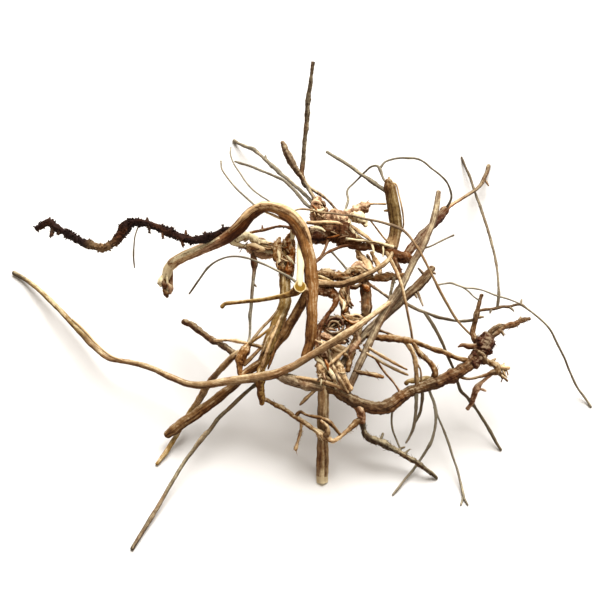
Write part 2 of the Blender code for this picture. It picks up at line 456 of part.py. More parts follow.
# The wiry rootlets
ROOTLETS = {
    "back_rootlet": (
        (234.5, 141, 0.7, 1.9), (240, 144, 3.5, 1.3), (247, 147, 7, 1.6), (253, 149, 10, 2.2),
        (260, 155, 15, 1.5), (267, 161, 20.5, 1.8), (273, 167, 26, 2.0), (279, 172, 31, 2.2),
        (285, 177, 36, 1.7), (292, 183, 42.5, 1.5), (300, 190, 49, 1.6), (308, 198, 54, 1.8),
        (316, 207, 57, 2.0),
    ),
    "back_rootlet_low": (
        (235, 161.5, 16, 1.0), (243, 164, 19, 1.1), (252, 167, 23, 1.3), (262, 171, 28, 1.2),
        (272, 175, 33, 1.2), (281, 179, 38, 1.3), (288, 184, 42.5, 1.6), (294, 190, 46.5, 1.6),
        (300, 197, 50.5, 1.6), (304, 202, 53.5, 1.5), (309, 206.5, 56, 1.6), (317, 210, 57, 1.8),
    ),
    "hair_loop_1": (
        (231, 147, 52, 0.65), (230.5, 154, 54, 0.7), (233.5, 163, 57, 0.7), (240, 173, 60.5, 0.7),
        (246, 182, 64, 0.7), (253, 190, 67.5, 0.7), (261, 196, 71, 0.7), (270, 202, 75, 0.7),
        (274, 207, 76, 0.8),
    ),
    "hair_loop_2": (
        (221, 161, 46, 0.8), (222, 169, 49, 0.8), (227, 177, 52, 0.8), (234, 186, 56, 0.85),
        (242, 194, 60, 0.9), (250, 201, 65, 0.9), (257, 207, 72, 0.9), (262, 209, 74.5, 1.0),
    ),
    "under_arch": (
        (189, 294, 34, 0.8), (194, 287, 38, 0.9), (201, 277, 43.5, 0.95), (208, 267.5, 48, 0.95),
        (216, 261.5, 51.5, 0.9), (226, 257.5, 54.5, 0.9), (236, 256.5, 57, 0.95),
        (247, 258, 58.5, 0.9), (258, 262, 59, 0.9), (270, 267, 59, 0.9), (281, 272.5, 59, 1.0),
        (289, 277, 60, 1.2), (298, 284, 63.5, 1.2),
    ),
    "top_rootlet": (
        (327, 152, 51, 1.3), (336, 157.5, 53, 1.5), (345, 163, 55, 1.7), (354, 169, 57.5, 1.8),
        (362, 175, 59.5, 1.6), (371, 181, 61, 1.9), (380, 187, 62.5, 2.0), (391, 194, 63, 2.0),
    ),
    "top_curl": (
        (390, 188, 65, 1.2), (387, 184, 66, 1.0), (383, 178, 66.5, 1.0), (380, 170, 67, 1.6),
        (377, 166, 66.5, 1.2), (371, 167, 64.5, 0.9), (365, 172, 61, 0.9), (360, 177, 56, 0.9),
        (354, 183, 55, 0.9), (348, 189, 55, 0.9), (347, 193, 55, 1.2), (348, 200, 55, 1.2),
        (346, 208, 55, 0.9), (344, 218, 54.5, 0.9),
    ),
    "top_arch": (
        (380, 168, 67, 1.2), (385, 162, 68, 0.9), (392, 159.5, 68.5, 0.9), (400, 158, 69, 1.0),
        (408, 158, 69, 1.0), (416, 158.5, 68, 1.0), (424, 162, 66, 0.8), (431, 168, 63, 0.8),
        (439, 174, 59, 0.9), (446, 181, 54, 0.9), (450, 189, 48, 1.1), (451.5, 197, 41, 1.1),
        (449.5, 203, 35, 1.2), (446, 209, 31, 1.4),
    ),
    "sweep": (
        (288, 215, 74.5, 1.2), (296, 210, 68, 1.1), (303, 209, 64, 1.0), (311, 210, 62, 1.0),
        (322, 212.5, 61, 1.2), (334, 213.5, 60.5, 1.2), (343, 215, 60, 1.1),
        (352, 215.5, 60, 1.0), (361, 218, 60, 1.2), (370, 220, 59, 1.1), (378, 221.5, 58.5, 1.1),
        (387, 224, 58.5, 1.2), (396, 227, 58, 1.4), (402, 230, 57.5, 1.3), (408, 235, 57.5, 1.3),
        (413, 241, 58, 1.2), (418, 248, 58, 1.1), (423, 257, 57, 1.1), (428, 267, 55.5, 1.1),
        (434, 279, 53, 1.2), (440, 291, 50, 1.2), (447, 304, 46, 1.2), (454, 316, 42, 1.2),
        (461, 325, 39, 1.1), (468, 332, 37, 1.0), (475, 338, 36, 1.2),
    ),
    "sweep_fork": (
        (370, 220, 59, 0.8), (377, 229, 55, 0.8), (384, 238, 50, 0.8), (391, 245, 46.5, 1.0),
    ),
    "crown_hook": (
        (356, 245, 49, 1.8), (345, 245.5, 50, 1.5), (335, 249, 52, 1.3), (326, 253.5, 55, 1.3),
        (319, 259, 58.5, 1.6), (311, 265, 64, 1.7),
    ),
    "crown_hook_mate": (
        (329, 238, 52, 1.2), (325, 249, 55.5, 1.1), (321, 256, 58, 1.1), (315, 263, 61.5, 1.3),
    ),
    "crown_thread": (
        (330, 250, 53.5, 1.0), (338, 259, 51, 0.9), (345, 267, 49, 0.9), (350, 274, 48.5, 1.0),
    ),
    "grey_root_hair": (
        (421, 249, 52.2, 1.0), (430, 246.5, 51, 0.8), (438, 242.5, 49.5, 0.8),
        (446, 238.5, 48, 0.75), (454, 235, 46.5, 0.9),
    ),
    "right_arch": (
        (461.5, 157, 0.5, 1.0), (465, 166, 2.5, 1.2), (469.5, 176, 4.5, 1.2), (473, 186, 7, 1.2),
        (477, 198, 11, 1.2), (482, 212, 16, 1.3), (487, 227, 21, 1.3), (491.5, 243, 26, 1.3),
        (495, 258, 31, 1.1), (497.5, 274, 37, 1.0), (498.5, 288, 42, 1.1),
        (498.5, 296, 43.5, 1.6), (497, 309, 41.3, 1.3),
    ),
    "right_hair": (
        (437, 285, 51.7, 0.8), (445, 283.5, 51, 0.7), (451, 283, 50.5, 0.9),
        (458, 285.5, 50, 0.8), (466, 288, 49, 0.65), (475, 288.5, 48, 0.7), (485, 291, 46.5, 0.7),
        (492, 294, 44.5, 0.7), (499, 296.5, 43.7, 0.9), (506, 298.5, 43, 0.8),
        (513, 301, 42, 0.7),
    ),
    "right_hair_fork": (
        (461, 286.5, 49.6, 0.7), (468, 291, 48, 0.65), (473, 296, 46, 0.65),
        (480, 301, 43.7, 0.8),
    ),
    "long_rootlet": (
        (477, 311, 42, 1.6), (485, 309.5, 42, 1.3), (493, 309, 41.5, 1.4), (502, 307, 41, 1.2),
        (509, 307, 40, 1.4), (515, 305, 39.5, 1.1), (521, 304.5, 38.5, 1.3), (529, 310, 37, 0.9),
        (539, 318, 34.5, 0.9), (549, 328, 31, 1.0), (557, 343, 24, 1.0), (564, 357, 17.5, 1.0),
        (570, 372, 11, 1.0), (577, 387, 5.5, 1.1), (585, 398, 2, 1.0), (591, 407, 0.4, 0.9),
    ),
    "cross_rootlet": (
        (401, 301, 44, 1.6), (409, 305.5, 44, 1.5), (418, 310, 43, 1.3), (427, 313, 42, 1.3),
        (437, 317, 41, 1.3), (447, 319, 40, 1.3), (456, 321, 39, 1.0), (465, 321, 39, 1.3),
        (474, 320, 39.8, 1.6),
    ),
    "drop_rootlet": (
        (424, 311.5, 42.3, 1.3), (430, 320, 41, 1.3), (436, 330, 39, 1.4), (442, 342, 36, 1.4),
        (446, 352, 32.5, 1.4), (451, 363, 28, 1.3), (455, 373, 24, 1.2), (458.5, 384, 20, 1.4),
        (461, 391, 18, 1.6), (467, 397, 16.5, 1.5), (472, 403, 15.5, 2.0), (477, 410, 12, 1.1),
        (484, 421, 8.5, 1.2), (491, 433, 5, 1.3), (496, 442, 2.5, 1.4), (501, 450, 0.5, 1.2),
    ),
    "under_loop": (
        (394, 405, 25, 1.1), (392, 413, 22, 1.0), (391.5, 422, 19, 0.9), (393, 431, 16, 0.9),
        (396.5, 440, 12.5, 0.9), (401, 451, 10.5, 1.0),
    ),
    "under_1": (
        (416, 390, 28.5, 1.7), (416.5, 400, 25, 1.5), (416, 409, 21, 1.5), (415, 418, 17.5, 1.4),
        (413.5, 427, 14, 1.3), (410.5, 435, 11, 1.1), (406, 443, 9, 0.9),
    ),
    "under_2": (
        (422, 389, 28.5, 1.6), (422.5, 397, 25.5, 1.6), (421.5, 406, 22, 1.4),
        (419.5, 414, 18.5, 1.2), (414.5, 423, 15.5, 1.2),
    ),
    "under_3": (
        (428, 387, 28.5, 1.3), (431, 395, 26, 1.3), (434, 403, 23.5, 1.3),
        (435.5, 412, 20.5, 1.3), (435.5, 422, 17.5, 1.2), (434, 432, 14.5, 1.2),
        (430.5, 443, 11, 1.3), (425.5, 452, 7.5, 1.3), (419.5, 461, 4.5, 1.1),
        (412, 471, 2.8, 1.1), (404, 480, 1.8, 1.1), (398, 488, 1.2, 1.1), (392.5, 495, 0.4, 0.9),
    ),
    "under_4": (
        (434, 407, 22.3, 1.1), (438, 417, 18, 0.9), (443, 429, 14, 1.0), (448.5, 443, 10, 1.0),
        (453, 457, 6.5, 1.1), (457.5, 471, 4, 1.1), (461, 485, 2, 1.1), (464, 498, 0.7, 1.4),
    ),
    "under_4_fork_1": ((463.5, 496, 0.8, 1.0), (461, 505, 0.5, 0.8)),
    "under_4_fork_2": ((464, 498, 0.8, 1.0), (468, 505, 0.5, 0.8)),
}

# The cut stem that stands in front: its last point is the flat foot
STEM = {
    "stem": (
        (324, 385, 35.5, 4.4), (323.5, 398, 31, 4.6), (323, 415, 25, 4.8), (322.7, 435, 18, 4.9),
        (322.4, 459, 7.8, 5.1), (322, 481, 0, 5.2),
    ),
}

# Short side buds: the strand they grow on, where they leave it and where they end, thickness
BUDS = (
    ("dark_root", 49, 223, 50, 217.5, 1.4),
    ("dark_root", 51, 228, 51, 236, 2.0),
    ("dark_root", 58, 231, 58, 235, 1.5),
    ("dark_root", 147, 223, 147, 217.5, 1.3),
    ("dark_root", 149, 226, 149, 233, 1.3),
    ("dark_root", 163, 230, 163, 238, 1.3),
    ("dark_root", 182, 238, 183, 246.5, 1.4),
    ("dark_root", 186, 237, 186, 230, 1.3),
    ("dark_root", 172, 233, 172, 227.5, 1.3),
    ("dark_root", 205, 238, 205, 231.5, 1.3),
    ("dark_root", 223, 230, 223, 224.5, 1.3),
    ("back_rootlet", 266, 160, 265.5, 155, 1.1),
    ("upright_root", 390, 184, 389, 177, 1.4),
    ("upright_root", 390, 211, 384, 211, 1.4),
    ("hanging_root", 253, 283, 256.5, 287, 1.0),
    ("loop_twig", 262, 230, 262, 225, 0.9),
    ("crown_leg_2", 346, 301, 353.5, 306, 1.4),
    ("slant_root", 430, 271, 435.5, 274, 1.3),
    ("slant_root", 413, 292, 417, 298, 1.3),
    ("slant_root", 416, 288, 423, 306, 1.2),
    ("slant_root", 426, 277, 418, 268, 1.3),
    ("far_root", 484, 179, 489, 186, 1.2),
    ("rhizome_shoot", 476, 317, 484, 317, 1.3),
    ("long_rootlet", 509, 307, 514, 311.5, 1.1),
    ("long_rootlet", 521, 304.5, 522, 299, 1.0),
    ("long_rootlet", 491, 309, 490, 313.5, 1.0),
    ("rhizome_hook", 501, 330, 504, 335.5, 1.3),
    ("rhizome_hook", 518, 323, 521, 316.5, 1.1),
    ("rhizome", 474, 349, 471.5, 354.5, 1.5),
    ("end_knot", 491, 363, 496, 358.5, 1.2),
    ("rhizome_twig", 477, 388, 486, 391, 1.2),
    ("forward_root", 380, 441, 383, 433, 1.3),
    ("forward_root", 397, 451, 405, 447, 1.2),
    ("forward_root", 404, 455, 410, 449, 1.1),
)

STRANDS = {**STEM, **DARK_ROOTS, **BROWN_ROOTS, **PALE_ROOTS, **GREY_ROOTS, **ROOTLETS}
TRUNK = "crown"
NODE = "root_clump"


def ray(across, down):
    """Direction of sight through a view pixel."""
    return (
        FORWARD * VIEW_DISTANCE
        + RIGHT * ((across - VIEW_MIDDLE) * PIXEL)
        + UP * ((VIEW_MIDDLE - down) * PIXEL)
    )


EYE = FOOT - ray(*FOOT_PIXEL)


def sight(across, down, height):
    """The point at this height in mm above the surface that the view shows at this pixel."""
    line = ray(across, down)
    return EYE + line * ((height - EYE.z) / line.z)


def curve_between(points, thicknesses):
    """A smooth curve through the points, as many close points with their thicknesses."""
    first = points[0] * 2 - points[1]
    last = points[-1] * 2 - points[-2]
    line = [first, *points, last]
    knots = [0.0]
    for before, after in zip(line, line[1:]):
        knots.append(knots[-1] + max((after - before).length, NO_LENGTH) ** 0.5)
    found = [(points[0], thicknesses[0])]
    for i in range(1, len(line) - 2):
        p0, p1, p2, p3 = line[i - 1 : i + 3]
        t0, t1, t2, t3 = knots[i - 1 : i + 3]
        steps = max(2, math.ceil((p2 - p1).length / CURVE_STEP))
        for step in range(1, steps + 1):
            t = t1 + (t2 - t1) * step / steps
            a1 = p0 * ((t1 - t) / (t1 - t0)) + p1 * ((t - t0) / (t1 - t0))
            a2 = p1 * ((t2 - t) / (t2 - t1)) + p2 * ((t - t1) / (t2 - t1))
            a3 = p2 * ((t3 - t) / (t3 - t2)) + p3 * ((t - t2) / (t3 - t2))
            b1 = a1 * ((t2 - t) / (t2 - t0)) + a2 * ((t - t0) / (t2 - t0))
            b2 = a2 * ((t3 - t) / (t3 - t1)) + a3 * ((t - t1) / (t3 - t1))
            share = step / steps
            thick = thicknesses[i - 1] * (1 - share) + thicknesses[i] * share
            found.append((b1 * ((t2 - t) / (t2 - t1)) + b2 * ((t - t1) / (t2 - t1)), thick))
    return found


def thinned(curve, deviation):
    """The fewest points of the curve that stay within this deviation of it."""
    keep = {0, len(curve) - 1}
    todo = [(0, len(curve) - 1)]
    while todo:
        start, end = todo.pop()
        if end - start < 2:
            continue
        (p, a), (q, b) = curve[start], curve[end]
        along = q - p
        length = max(along.length, NO_LENGTH)
        worst, where = 0.0, None
        for i in range(start + 1, end):
            point, thick = curve[i]
            share = min(1.0, max(0.0, (point - p).dot(along) / length**2))
            off = (point - p - along * share).length + 0.5 * abs(thick - a - (b - a) * share)
            if off > worst:
                worst, where = off, i
        if worst > deviation:
            keep.add(where)
            todo += [(start, where), (where, end)]
    return [curve[i] for i in sorted(keep)]


def strand_curve(route, name):
    """The middle line of a strand with its thickness, wandering a little round the route's."""
    chance = random.Random(name)
    points = [sight(across, down, height) for across, down, height, _ in route]
    thick = [max(THINNEST, t * (1 + chance.uniform(-UNEVEN, UNEVEN))) for *_, t in route]
    return curve_between(points, thick)


def sides_for(thickness):
    """How many sides a strand of this thickness has."""
    return next(sides for least, sides in SIDES if thickness >= least)


def rings_of(curve, name):
    """Rings of points along a curve, each square to it, none crossing the one before."""
    chance = random.Random(name + "_rings")
    sides = sides_for(max(thick for _, thick in curve))
    middles = [point for point, _ in curve]
    turn = chance.uniform(0, math.tau)
    rings = []
    facing = across = None
    for i, (middle, thick) in enumerate(curve):
        before = middles[max(i - 1, 0)]
        after = middles[min(i + 1, len(middles) - 1)]
        into = (middle - before).normalized() if i else (after - middle).normalized()
        out = (after - middle).normalized() if i < len(middles) - 1 else into
        ahead = (into + out).normalized() if (into + out).length > NO_DIRECTION else out
        if facing is None:
            across = ahead.orthogonal().normalized()
        else:
            across = facing.rotation_difference(ahead) @ across
            across = (across - ahead * across.dot(ahead)).normalized()
        facing = ahead
        ring = []
        for side in range(sides):
            angle = turn + math.tau * side / sides
            reach = 0.5 * thick * (1 + chance.uniform(-OUT_OF_ROUND, OUT_OF_ROUND))
            ring.append(middle + (Quaternion(ahead, angle) @ across) * reach)
        if rings:
            old_middle, old_ahead, old = rings[-1]
            clear = min((point - old_middle).dot(old_ahead) for point in ring) > RING_GAP
            clear = clear and max((point - middle).dot(ahead) for point in old) < -RING_GAP
            if not clear:
                if i < len(middles) - 1:
                    continue
                if len(rings) > 1:
                    rings.pop()
        rings.append((middle, ahead, ring))
    return [ring for _, _, ring in rings]


def solid_from_rings(name, rings):
    """A closed tube through the rings, with flat ends. Nothing reaches below the surface."""
    mesh = bmesh.new()
    rows = []
    for ring in rings:
        rows.append([mesh.verts.new(Vector((p.x, p.y, max(p.z, 0.0))) * MM) for p in ring])
    for lower, upper in zip(rows, rows[1:]):
        for i in range(len(lower)):
            j = (i + 1) % len(lower)
            mesh.faces.new((lower[i], lower[j], upper[j], upper[i]))
    mesh.faces.new(list(reversed(rows[0])))
    mesh.faces.new(rows[-1])
    bmesh.ops.triangulate(mesh, faces=mesh.faces[:])
    bmesh.ops.recalc_face_normals(mesh, faces=mesh.faces[:])
    data = bpy.data.meshes.new(name)
    mesh.to_mesh(data)
    mesh.free()
    return data


def set_flat_foot(rings, route):
    """The last ring slides along the stem until all of it lies on the surface."""
    along = sight(*route[-1][:3]) - sight(*route[-2][:3])
    rings[-1] = [point + along * (-point.z / along.z) for point in rings[-1]]
    for point in rings[-1]:
        point.z = 0.0


def nearest_on(curve, across, down):
    """The point of a strand's middle line that the view shows nearest to this pixel."""

    def off(entry):
        line = entry[0] - EYE
        line = line * (VIEW_DISTANCE / line.dot(FORWARD))
        return math.hypot(
            line.dot(RIGHT) / PIXEL + VIEW_MIDDLE - across, VIEW_MIDDLE - line.dot(UP) / PIXEL - down
        )

    return min(curve, key=off)[0]


def bud_curve(name, strand, bud):
    """A short tapered bud from the middle of its strand."""
    _, across, down, end_across, end_down, thick = bud
    base = nearest_on(strand, across, down)
    tip = sight(end_across, end_down, base.z)
    chance = random.Random(name)
    bend = Vector((chance.uniform(-BUD_BEND, BUD_BEND), 0.0, chance.uniform(-BUD_BEND, BUD_BEND)))
    middle = base.lerp(tip, BUD_MIDDLE) + bend
    return [(base, thick * BUD_FOOT), (middle, thick), (tip, max(THINNEST, thick * BUD_TIP))]


def all_curves():
    """The middle line and thickness of every strand and bud, by name."""
    curves = {name: strand_curve(route, name) for name, route in STRANDS.items()}
    for number, bud in enumerate(BUDS, 1):
        name = f"bud_{number}"
        curves[name] = bud_curve(name, curves[bud[0]], bud)
    return curves


def largest_body(mesh):
    """Keeps the biggest connected body of the mesh, so nothing loose or sealed inside is left."""
    mesh.verts.ensure_lookup_table()
    seen, bodies = set(), []
    for start in mesh.verts:
        if start.index in seen:
            continue
        body, todo = [], [start]
        seen.add(start.index)
        while todo:
            vertex = todo.pop()
            body.append(vertex)
            for edge in vertex.link_edges:
                other = edge.other_vert(vertex)
                if other.index not in seen:
                    seen.add(other.index)
                    todo.append(other)
        bodies.append(body)
    bodies.sort(key=len, reverse=True)
    for body in bodies[1:]:
        bmesh.ops.delete(mesh, geom=body, context="VERTS")


def bark_material():
    """Plain dry bark."""
    material = bpy.data.materials.new("dry_bark")
    material.use_nodes = True
    shader = material.node_tree.nodes["Principled BSDF"]
    shader.inputs["Base Color"].default_value = BARK_COLOUR
    shader.inputs["Roughness"].default_value = BARK_ROUGHNESS
    return material


def clear_scene():
    """Removes what the scene holds."""
    for obj in list(bpy.data.objects):
        bpy.data.objects.remove(obj, do_unlink=True)


def grown_together(scene):
    """The mesh of all strands and buds, fused to the trunk by one union."""
    joined = bpy.data.collections.new("grown_on")
    scene.collection.children.link(joined)
    trunk = None
    for name, curve in all_curves().items():
        rings = rings_of(thinned(curve, DEVIATION), name)
        if name == "stem":
            set_flat_foot(rings, STRANDS[name])
        strand = bpy.data.objects.new(name, solid_from_rings(name, rings))
        if name == TRUNK:
            scene.collection.objects.link(strand)
            trunk = strand
        else:
            joined.objects.link(strand)

    union = trunk.modifiers.new("grown_together", "BOOLEAN")
    union.operation = "UNION"
    union.operand_type = "COLLECTION"
    union.collection = joined
    union.solver = "EXACT"
    bpy.context.view_layer.update()
    graph = bpy.context.evaluated_depsgraph_get()
    whole = bpy.data.meshes.new_from_object(trunk.evaluated_get(graph))
    for obj in list(bpy.data.objects):
        bpy.data.objects.remove(obj, do_unlink=True)
    bpy.data.collections.remove(joined)
    return whole


def main():
    clear_scene()
    scene = bpy.context.scene
    whole = grown_together(scene)
    mesh = bmesh.new()
    mesh.from_mesh(whole)
    largest_body(mesh)
    bmesh.ops.triangulate(mesh, faces=mesh.faces[:])
    mesh.to_mesh(whole)
    mesh.free()
    whole.materials.clear()
    whole.materials.append(bark_material())
    whole.name = NODE
    scene.collection.objects.link(bpy.data.objects.new(NODE, whole))


if __name__ == "__main__":
    main()
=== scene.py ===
"""Looks of the root clump: a dried tangle of woody roots that lies on a pale surface.

Every strand follows a route, as in the part's source. A route point gives where the strand is
seen in the view (across and down, in view pixels), its height above the surface in mm and its
thickness in mm. Geometry Nodes sweep the routes into strands with wrinkled, knotty bark. Slivers,
ribs, torn strips and the strands of the heart are too fine or too many for the solid, so they
are here alone.
"""

import functools
import math
import random

import bpy
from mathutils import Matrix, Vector


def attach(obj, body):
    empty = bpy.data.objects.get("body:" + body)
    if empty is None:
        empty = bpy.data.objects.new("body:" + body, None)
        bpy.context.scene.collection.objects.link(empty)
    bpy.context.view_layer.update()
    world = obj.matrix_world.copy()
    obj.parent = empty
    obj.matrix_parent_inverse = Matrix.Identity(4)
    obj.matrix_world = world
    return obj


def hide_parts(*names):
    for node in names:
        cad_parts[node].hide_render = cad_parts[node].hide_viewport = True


bl_info = {
    "name": "Root clump",
    "version": (1, 0, 0),
    "blender": (4, 5, 0),
    "location": "3D View > Sidebar > Root clump",
    "description": "Builds the looks of a dried root clump round its solid",
    "category": "Object",
}

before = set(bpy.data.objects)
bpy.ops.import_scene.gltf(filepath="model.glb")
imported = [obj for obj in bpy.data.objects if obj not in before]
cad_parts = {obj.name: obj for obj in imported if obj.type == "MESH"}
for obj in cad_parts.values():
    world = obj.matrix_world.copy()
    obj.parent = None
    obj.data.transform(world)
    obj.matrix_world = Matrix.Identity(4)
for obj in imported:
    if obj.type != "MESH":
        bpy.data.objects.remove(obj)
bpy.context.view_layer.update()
NODE = "root_clump"
BODY = "root"
MM = 0.001

# Driving sizes, in mm, as in the part's source
CLUMP_REACH = 248.0
VIEW_DISTANCE = 900.0
THINNEST = 0.65
UNEVEN = 0.07
FOOT = Vector((11.3, -77.4, 0.0))  # the stem's foot

# The view: 600 pixels wide, looking down at the surface
VIEW_TILT = math.radians(55.0)
VIEW_MIDDLE = 300.0
LEFT_TIP_PIXEL = 14.0
RIGHT_TIP_PIXEL = 591.0
FOOT_PIXEL = (322.0, 481.0)
PIXEL = CLUMP_REACH / (RIGHT_TIP_PIXEL - LEFT_TIP_PIXEL)
RIGHT = Vector((1.0, 0.0, 0.0))
UP = Vector((0.0, math.sin(VIEW_TILT), math.cos(VIEW_TILT)))
FORWARD = Vector((0.0, math.cos(VIEW_TILT), -math.sin(VIEW_TILT)))

# How finely a route is followed, in mm
CURVE_STEP = 0.6

# The side painted paler, upwards and a little to the back, near the key light: partly bleached by weather
# and handling, partly a painted highlight. The side away from it is painted darker, as painted shade
WORN_AND_LIT_SIDE = (0.3, 0.45, 0.85)
WORN_AND_LIT_MIDDLE = 0.45

# Sweep classes: least thickness in mm, sides and ring spacing in mm
SWEEPS = ((3.3, 30, 0.30), (2.0, 20, 0.34), (1.25, 12, 0.40), (0.0, 8, 0.45))

# The long pale root, from its tip at the far left into the crown, and a sliver that peels off it
LONG_ROOT = {
    "long_root": (
        (14, 273, 1.1, 2.2), (25, 279, 2.2, 2.2), (38, 289, 4, 2.2), (54, 304, 6, 2.4), (67, 318, 7.5, 2.6),
        (80, 331, 9, 3.0), (90, 342, 10.5, 3.0), (97, 349, 12, 3.0), (107, 358, 14, 2.2),
        (119, 361, 16, 2.2), (134, 363, 18, 2.2), (153, 369, 20, 2.6), (172, 378, 22.5, 2.8),
        (187, 384, 24.5, 3.0), (203, 385, 27, 3.4), (220, 382, 29.5, 3.4), (240, 380, 32, 3.9),
        (260, 377, 35.5, 4.3), (275, 374, 38.5, 4.3), (287, 369, 41, 3.4), (300, 362, 44, 3.0),
        (315, 353, 47, 3.4), (330, 344, 49.5, 3.4), (345, 335, 51, 3.4), (357, 327, 51, 3.0),
        (370, 317, 50, 2.6), (381, 309, 48.5, 2.2), (392, 301, 46.5, 1.7),
    ),
    "long_sliver": (
        (72, 319, 9.5, 0.7), (80, 326, 10.5, 0.8), (88, 334, 11.5, 0.8), (95, 342, 12.5, 0.8),
        (103, 350, 14.0, 0.8), (112, 356.5, 16.0, 0.8), (122, 360, 18.0, 0.7),
    ),
}

# The looped root: its ribs, the strips and knobs of its torn end, and the thick root itself
LOOP_ROOT = {
    "loop_rib": (
        (229, 232, 66.8, 1.0), (238, 224, 70.4, 1.6), (246, 215.5, 73.6, 2.2), (254, 208.5, 76.0, 2.7),
        (264, 204.8, 77.4, 3.1), (275, 205.6, 78.0, 3.3), (287, 210.2, 77.3, 3.3), (296, 217, 76.0, 3.2),
        (303, 225.5, 74.0, 2.8), (307.5, 235, 71.8, 2.4), (310.5, 245, 69.2, 1.8), (312.5, 256, 66.2, 1.2),
    ),
    "loop_inner": (
        (280, 216, 73.5, 1.4), (288, 221, 72.8, 2.0), (294, 228, 71.5, 2.4), (299, 237, 70, 2.4),
        (302.5, 247, 68, 2.2), (304.5, 258, 66, 2.0), (306, 274, 63, 1.8), (307, 292, 59, 1.6),
        (307.5, 310, 55, 1.3),
    ),
    "torn_strip_1": ((168, 270, 39, 1.8), (164, 275, 37, 2.0), (161.5, 280, 35, 1.6), (162, 286, 33, 0.8)),
    "torn_strip_2": (
        (168, 272, 38.5, 2.4), (166, 279, 36, 2.6), (164.5, 285, 34, 2.2), (165, 291, 32, 1.9),
        (166.5, 297, 30, 1.0),
    ),
    "torn_strip_3": (
        (170, 271, 38.5, 2.2), (170.5, 278, 36, 2.4), (170.5, 284, 34, 2.2), (171, 290, 32.5, 1.7),
        (170, 294, 31.5, 0.9),
    ),
    "torn_strip_4": ((165, 281, 35, 1.3), (161.5, 285, 34, 1.3), (157.5, 283, 34.5, 0.7)),
    "torn_strip_6": (
        (168.5, 277, 35.5, 1.4), (168.8, 285, 33, 2.0), (168.6, 291, 31.5, 1.7), (167.8, 295.5, 30.5, 0.8),
    ),
    "torn_knob_1": ((162, 276, 37.5, 1.4), (160.5, 281, 36.5, 2.6), (161, 286, 35, 1.4)),
    "torn_knob_2": ((163, 281, 37, 1.2), (164.5, 285, 36.4, 2.0), (166, 288, 35.2, 1.2)),
    "torn_knob_3": ((168, 284, 36.4, 1.4), (170.6, 288, 35.4, 2.6), (170, 293, 33.8, 1.4)),
    "torn_knob_4": ((164, 290, 34.4, 1.4), (166.2, 293.5, 33.6, 2.4), (167.4, 297, 32.2, 1.2)),
    "loop_top": (
        (166, 276, 38, 1.2), (170, 264, 42.8, 1.8), (177, 258.5, 46.6, 2.0), (186, 253.8, 50.6, 2.0),
        (196, 249.2, 54.4, 1.8), (208, 244, 58.4, 1.5), (220, 238.3, 62.6, 1.0),
    ),
    "torn_strip_5": ((167, 277, 38, 1.0), (167.5, 284, 36, 1.2), (168, 291, 33, 0.8)),
    "loop_root": (
        (166, 277, 36, 4.3), (168, 268, 40, 4.3), (174, 262, 43, 4.5), (183, 257, 47, 4.7),
        (192, 253, 50.5, 4.7), (203, 248, 54, 4.7), (215, 243, 58, 5.0), (226, 238, 62, 5.2),
        (237, 230, 66, 5.6), (245, 222, 69, 5.6), (252, 214, 72, 5.4), (259, 209, 74, 4.9),
        (266, 206.5, 75.5, 4.5), (275, 208, 76, 4.7), (284, 212, 75.5, 5.0), (292, 218, 74.5, 5.2),
        (298, 224, 73, 5.2), (303, 232, 71, 5.2), (306, 241, 69, 5.2), (308, 251, 67, 5.4),
        (310, 262, 64.5, 5.6), (311, 275, 62, 5.4), (312, 290, 59, 5.0), (312, 305, 56, 4.7),
        (312, 318, 53, 4.7), (311, 332, 49, 4.7), (309, 345, 45, 4.5), (305, 357, 42, 4.0),
    ),
}

# The dark, warty root
DARK_ROOT = {
    "dark_root": (
        (37, 229, 40, 2.6), (43, 225, 41, 2.6), (49, 223, 42, 3.2), (55, 227, 42, 3.4), (62, 231, 42, 3.0),
        (71, 236, 42.5, 3.0), (82, 242, 43, 3.0), (93, 246, 44, 3.0), (104, 247.5, 45, 3.0),
        (112, 244, 46, 3.0), (119, 238, 47.5, 4.0), (123, 231, 49, 4.6), (127, 225, 50.5, 3.8),
        (136, 222, 52, 3.2), (147, 223.5, 53.5, 3.0), (158, 227.5, 54.5, 3.2), (170, 233, 56, 3.4),
        (182, 237.5, 57.5, 3.4), (193, 240, 59, 3.4), (203, 238.5, 60.5, 3.0), (212, 235.5, 62, 2.8),
        (222, 231, 63.5, 2.6), (233, 229, 66, 2.6),
    ),
}

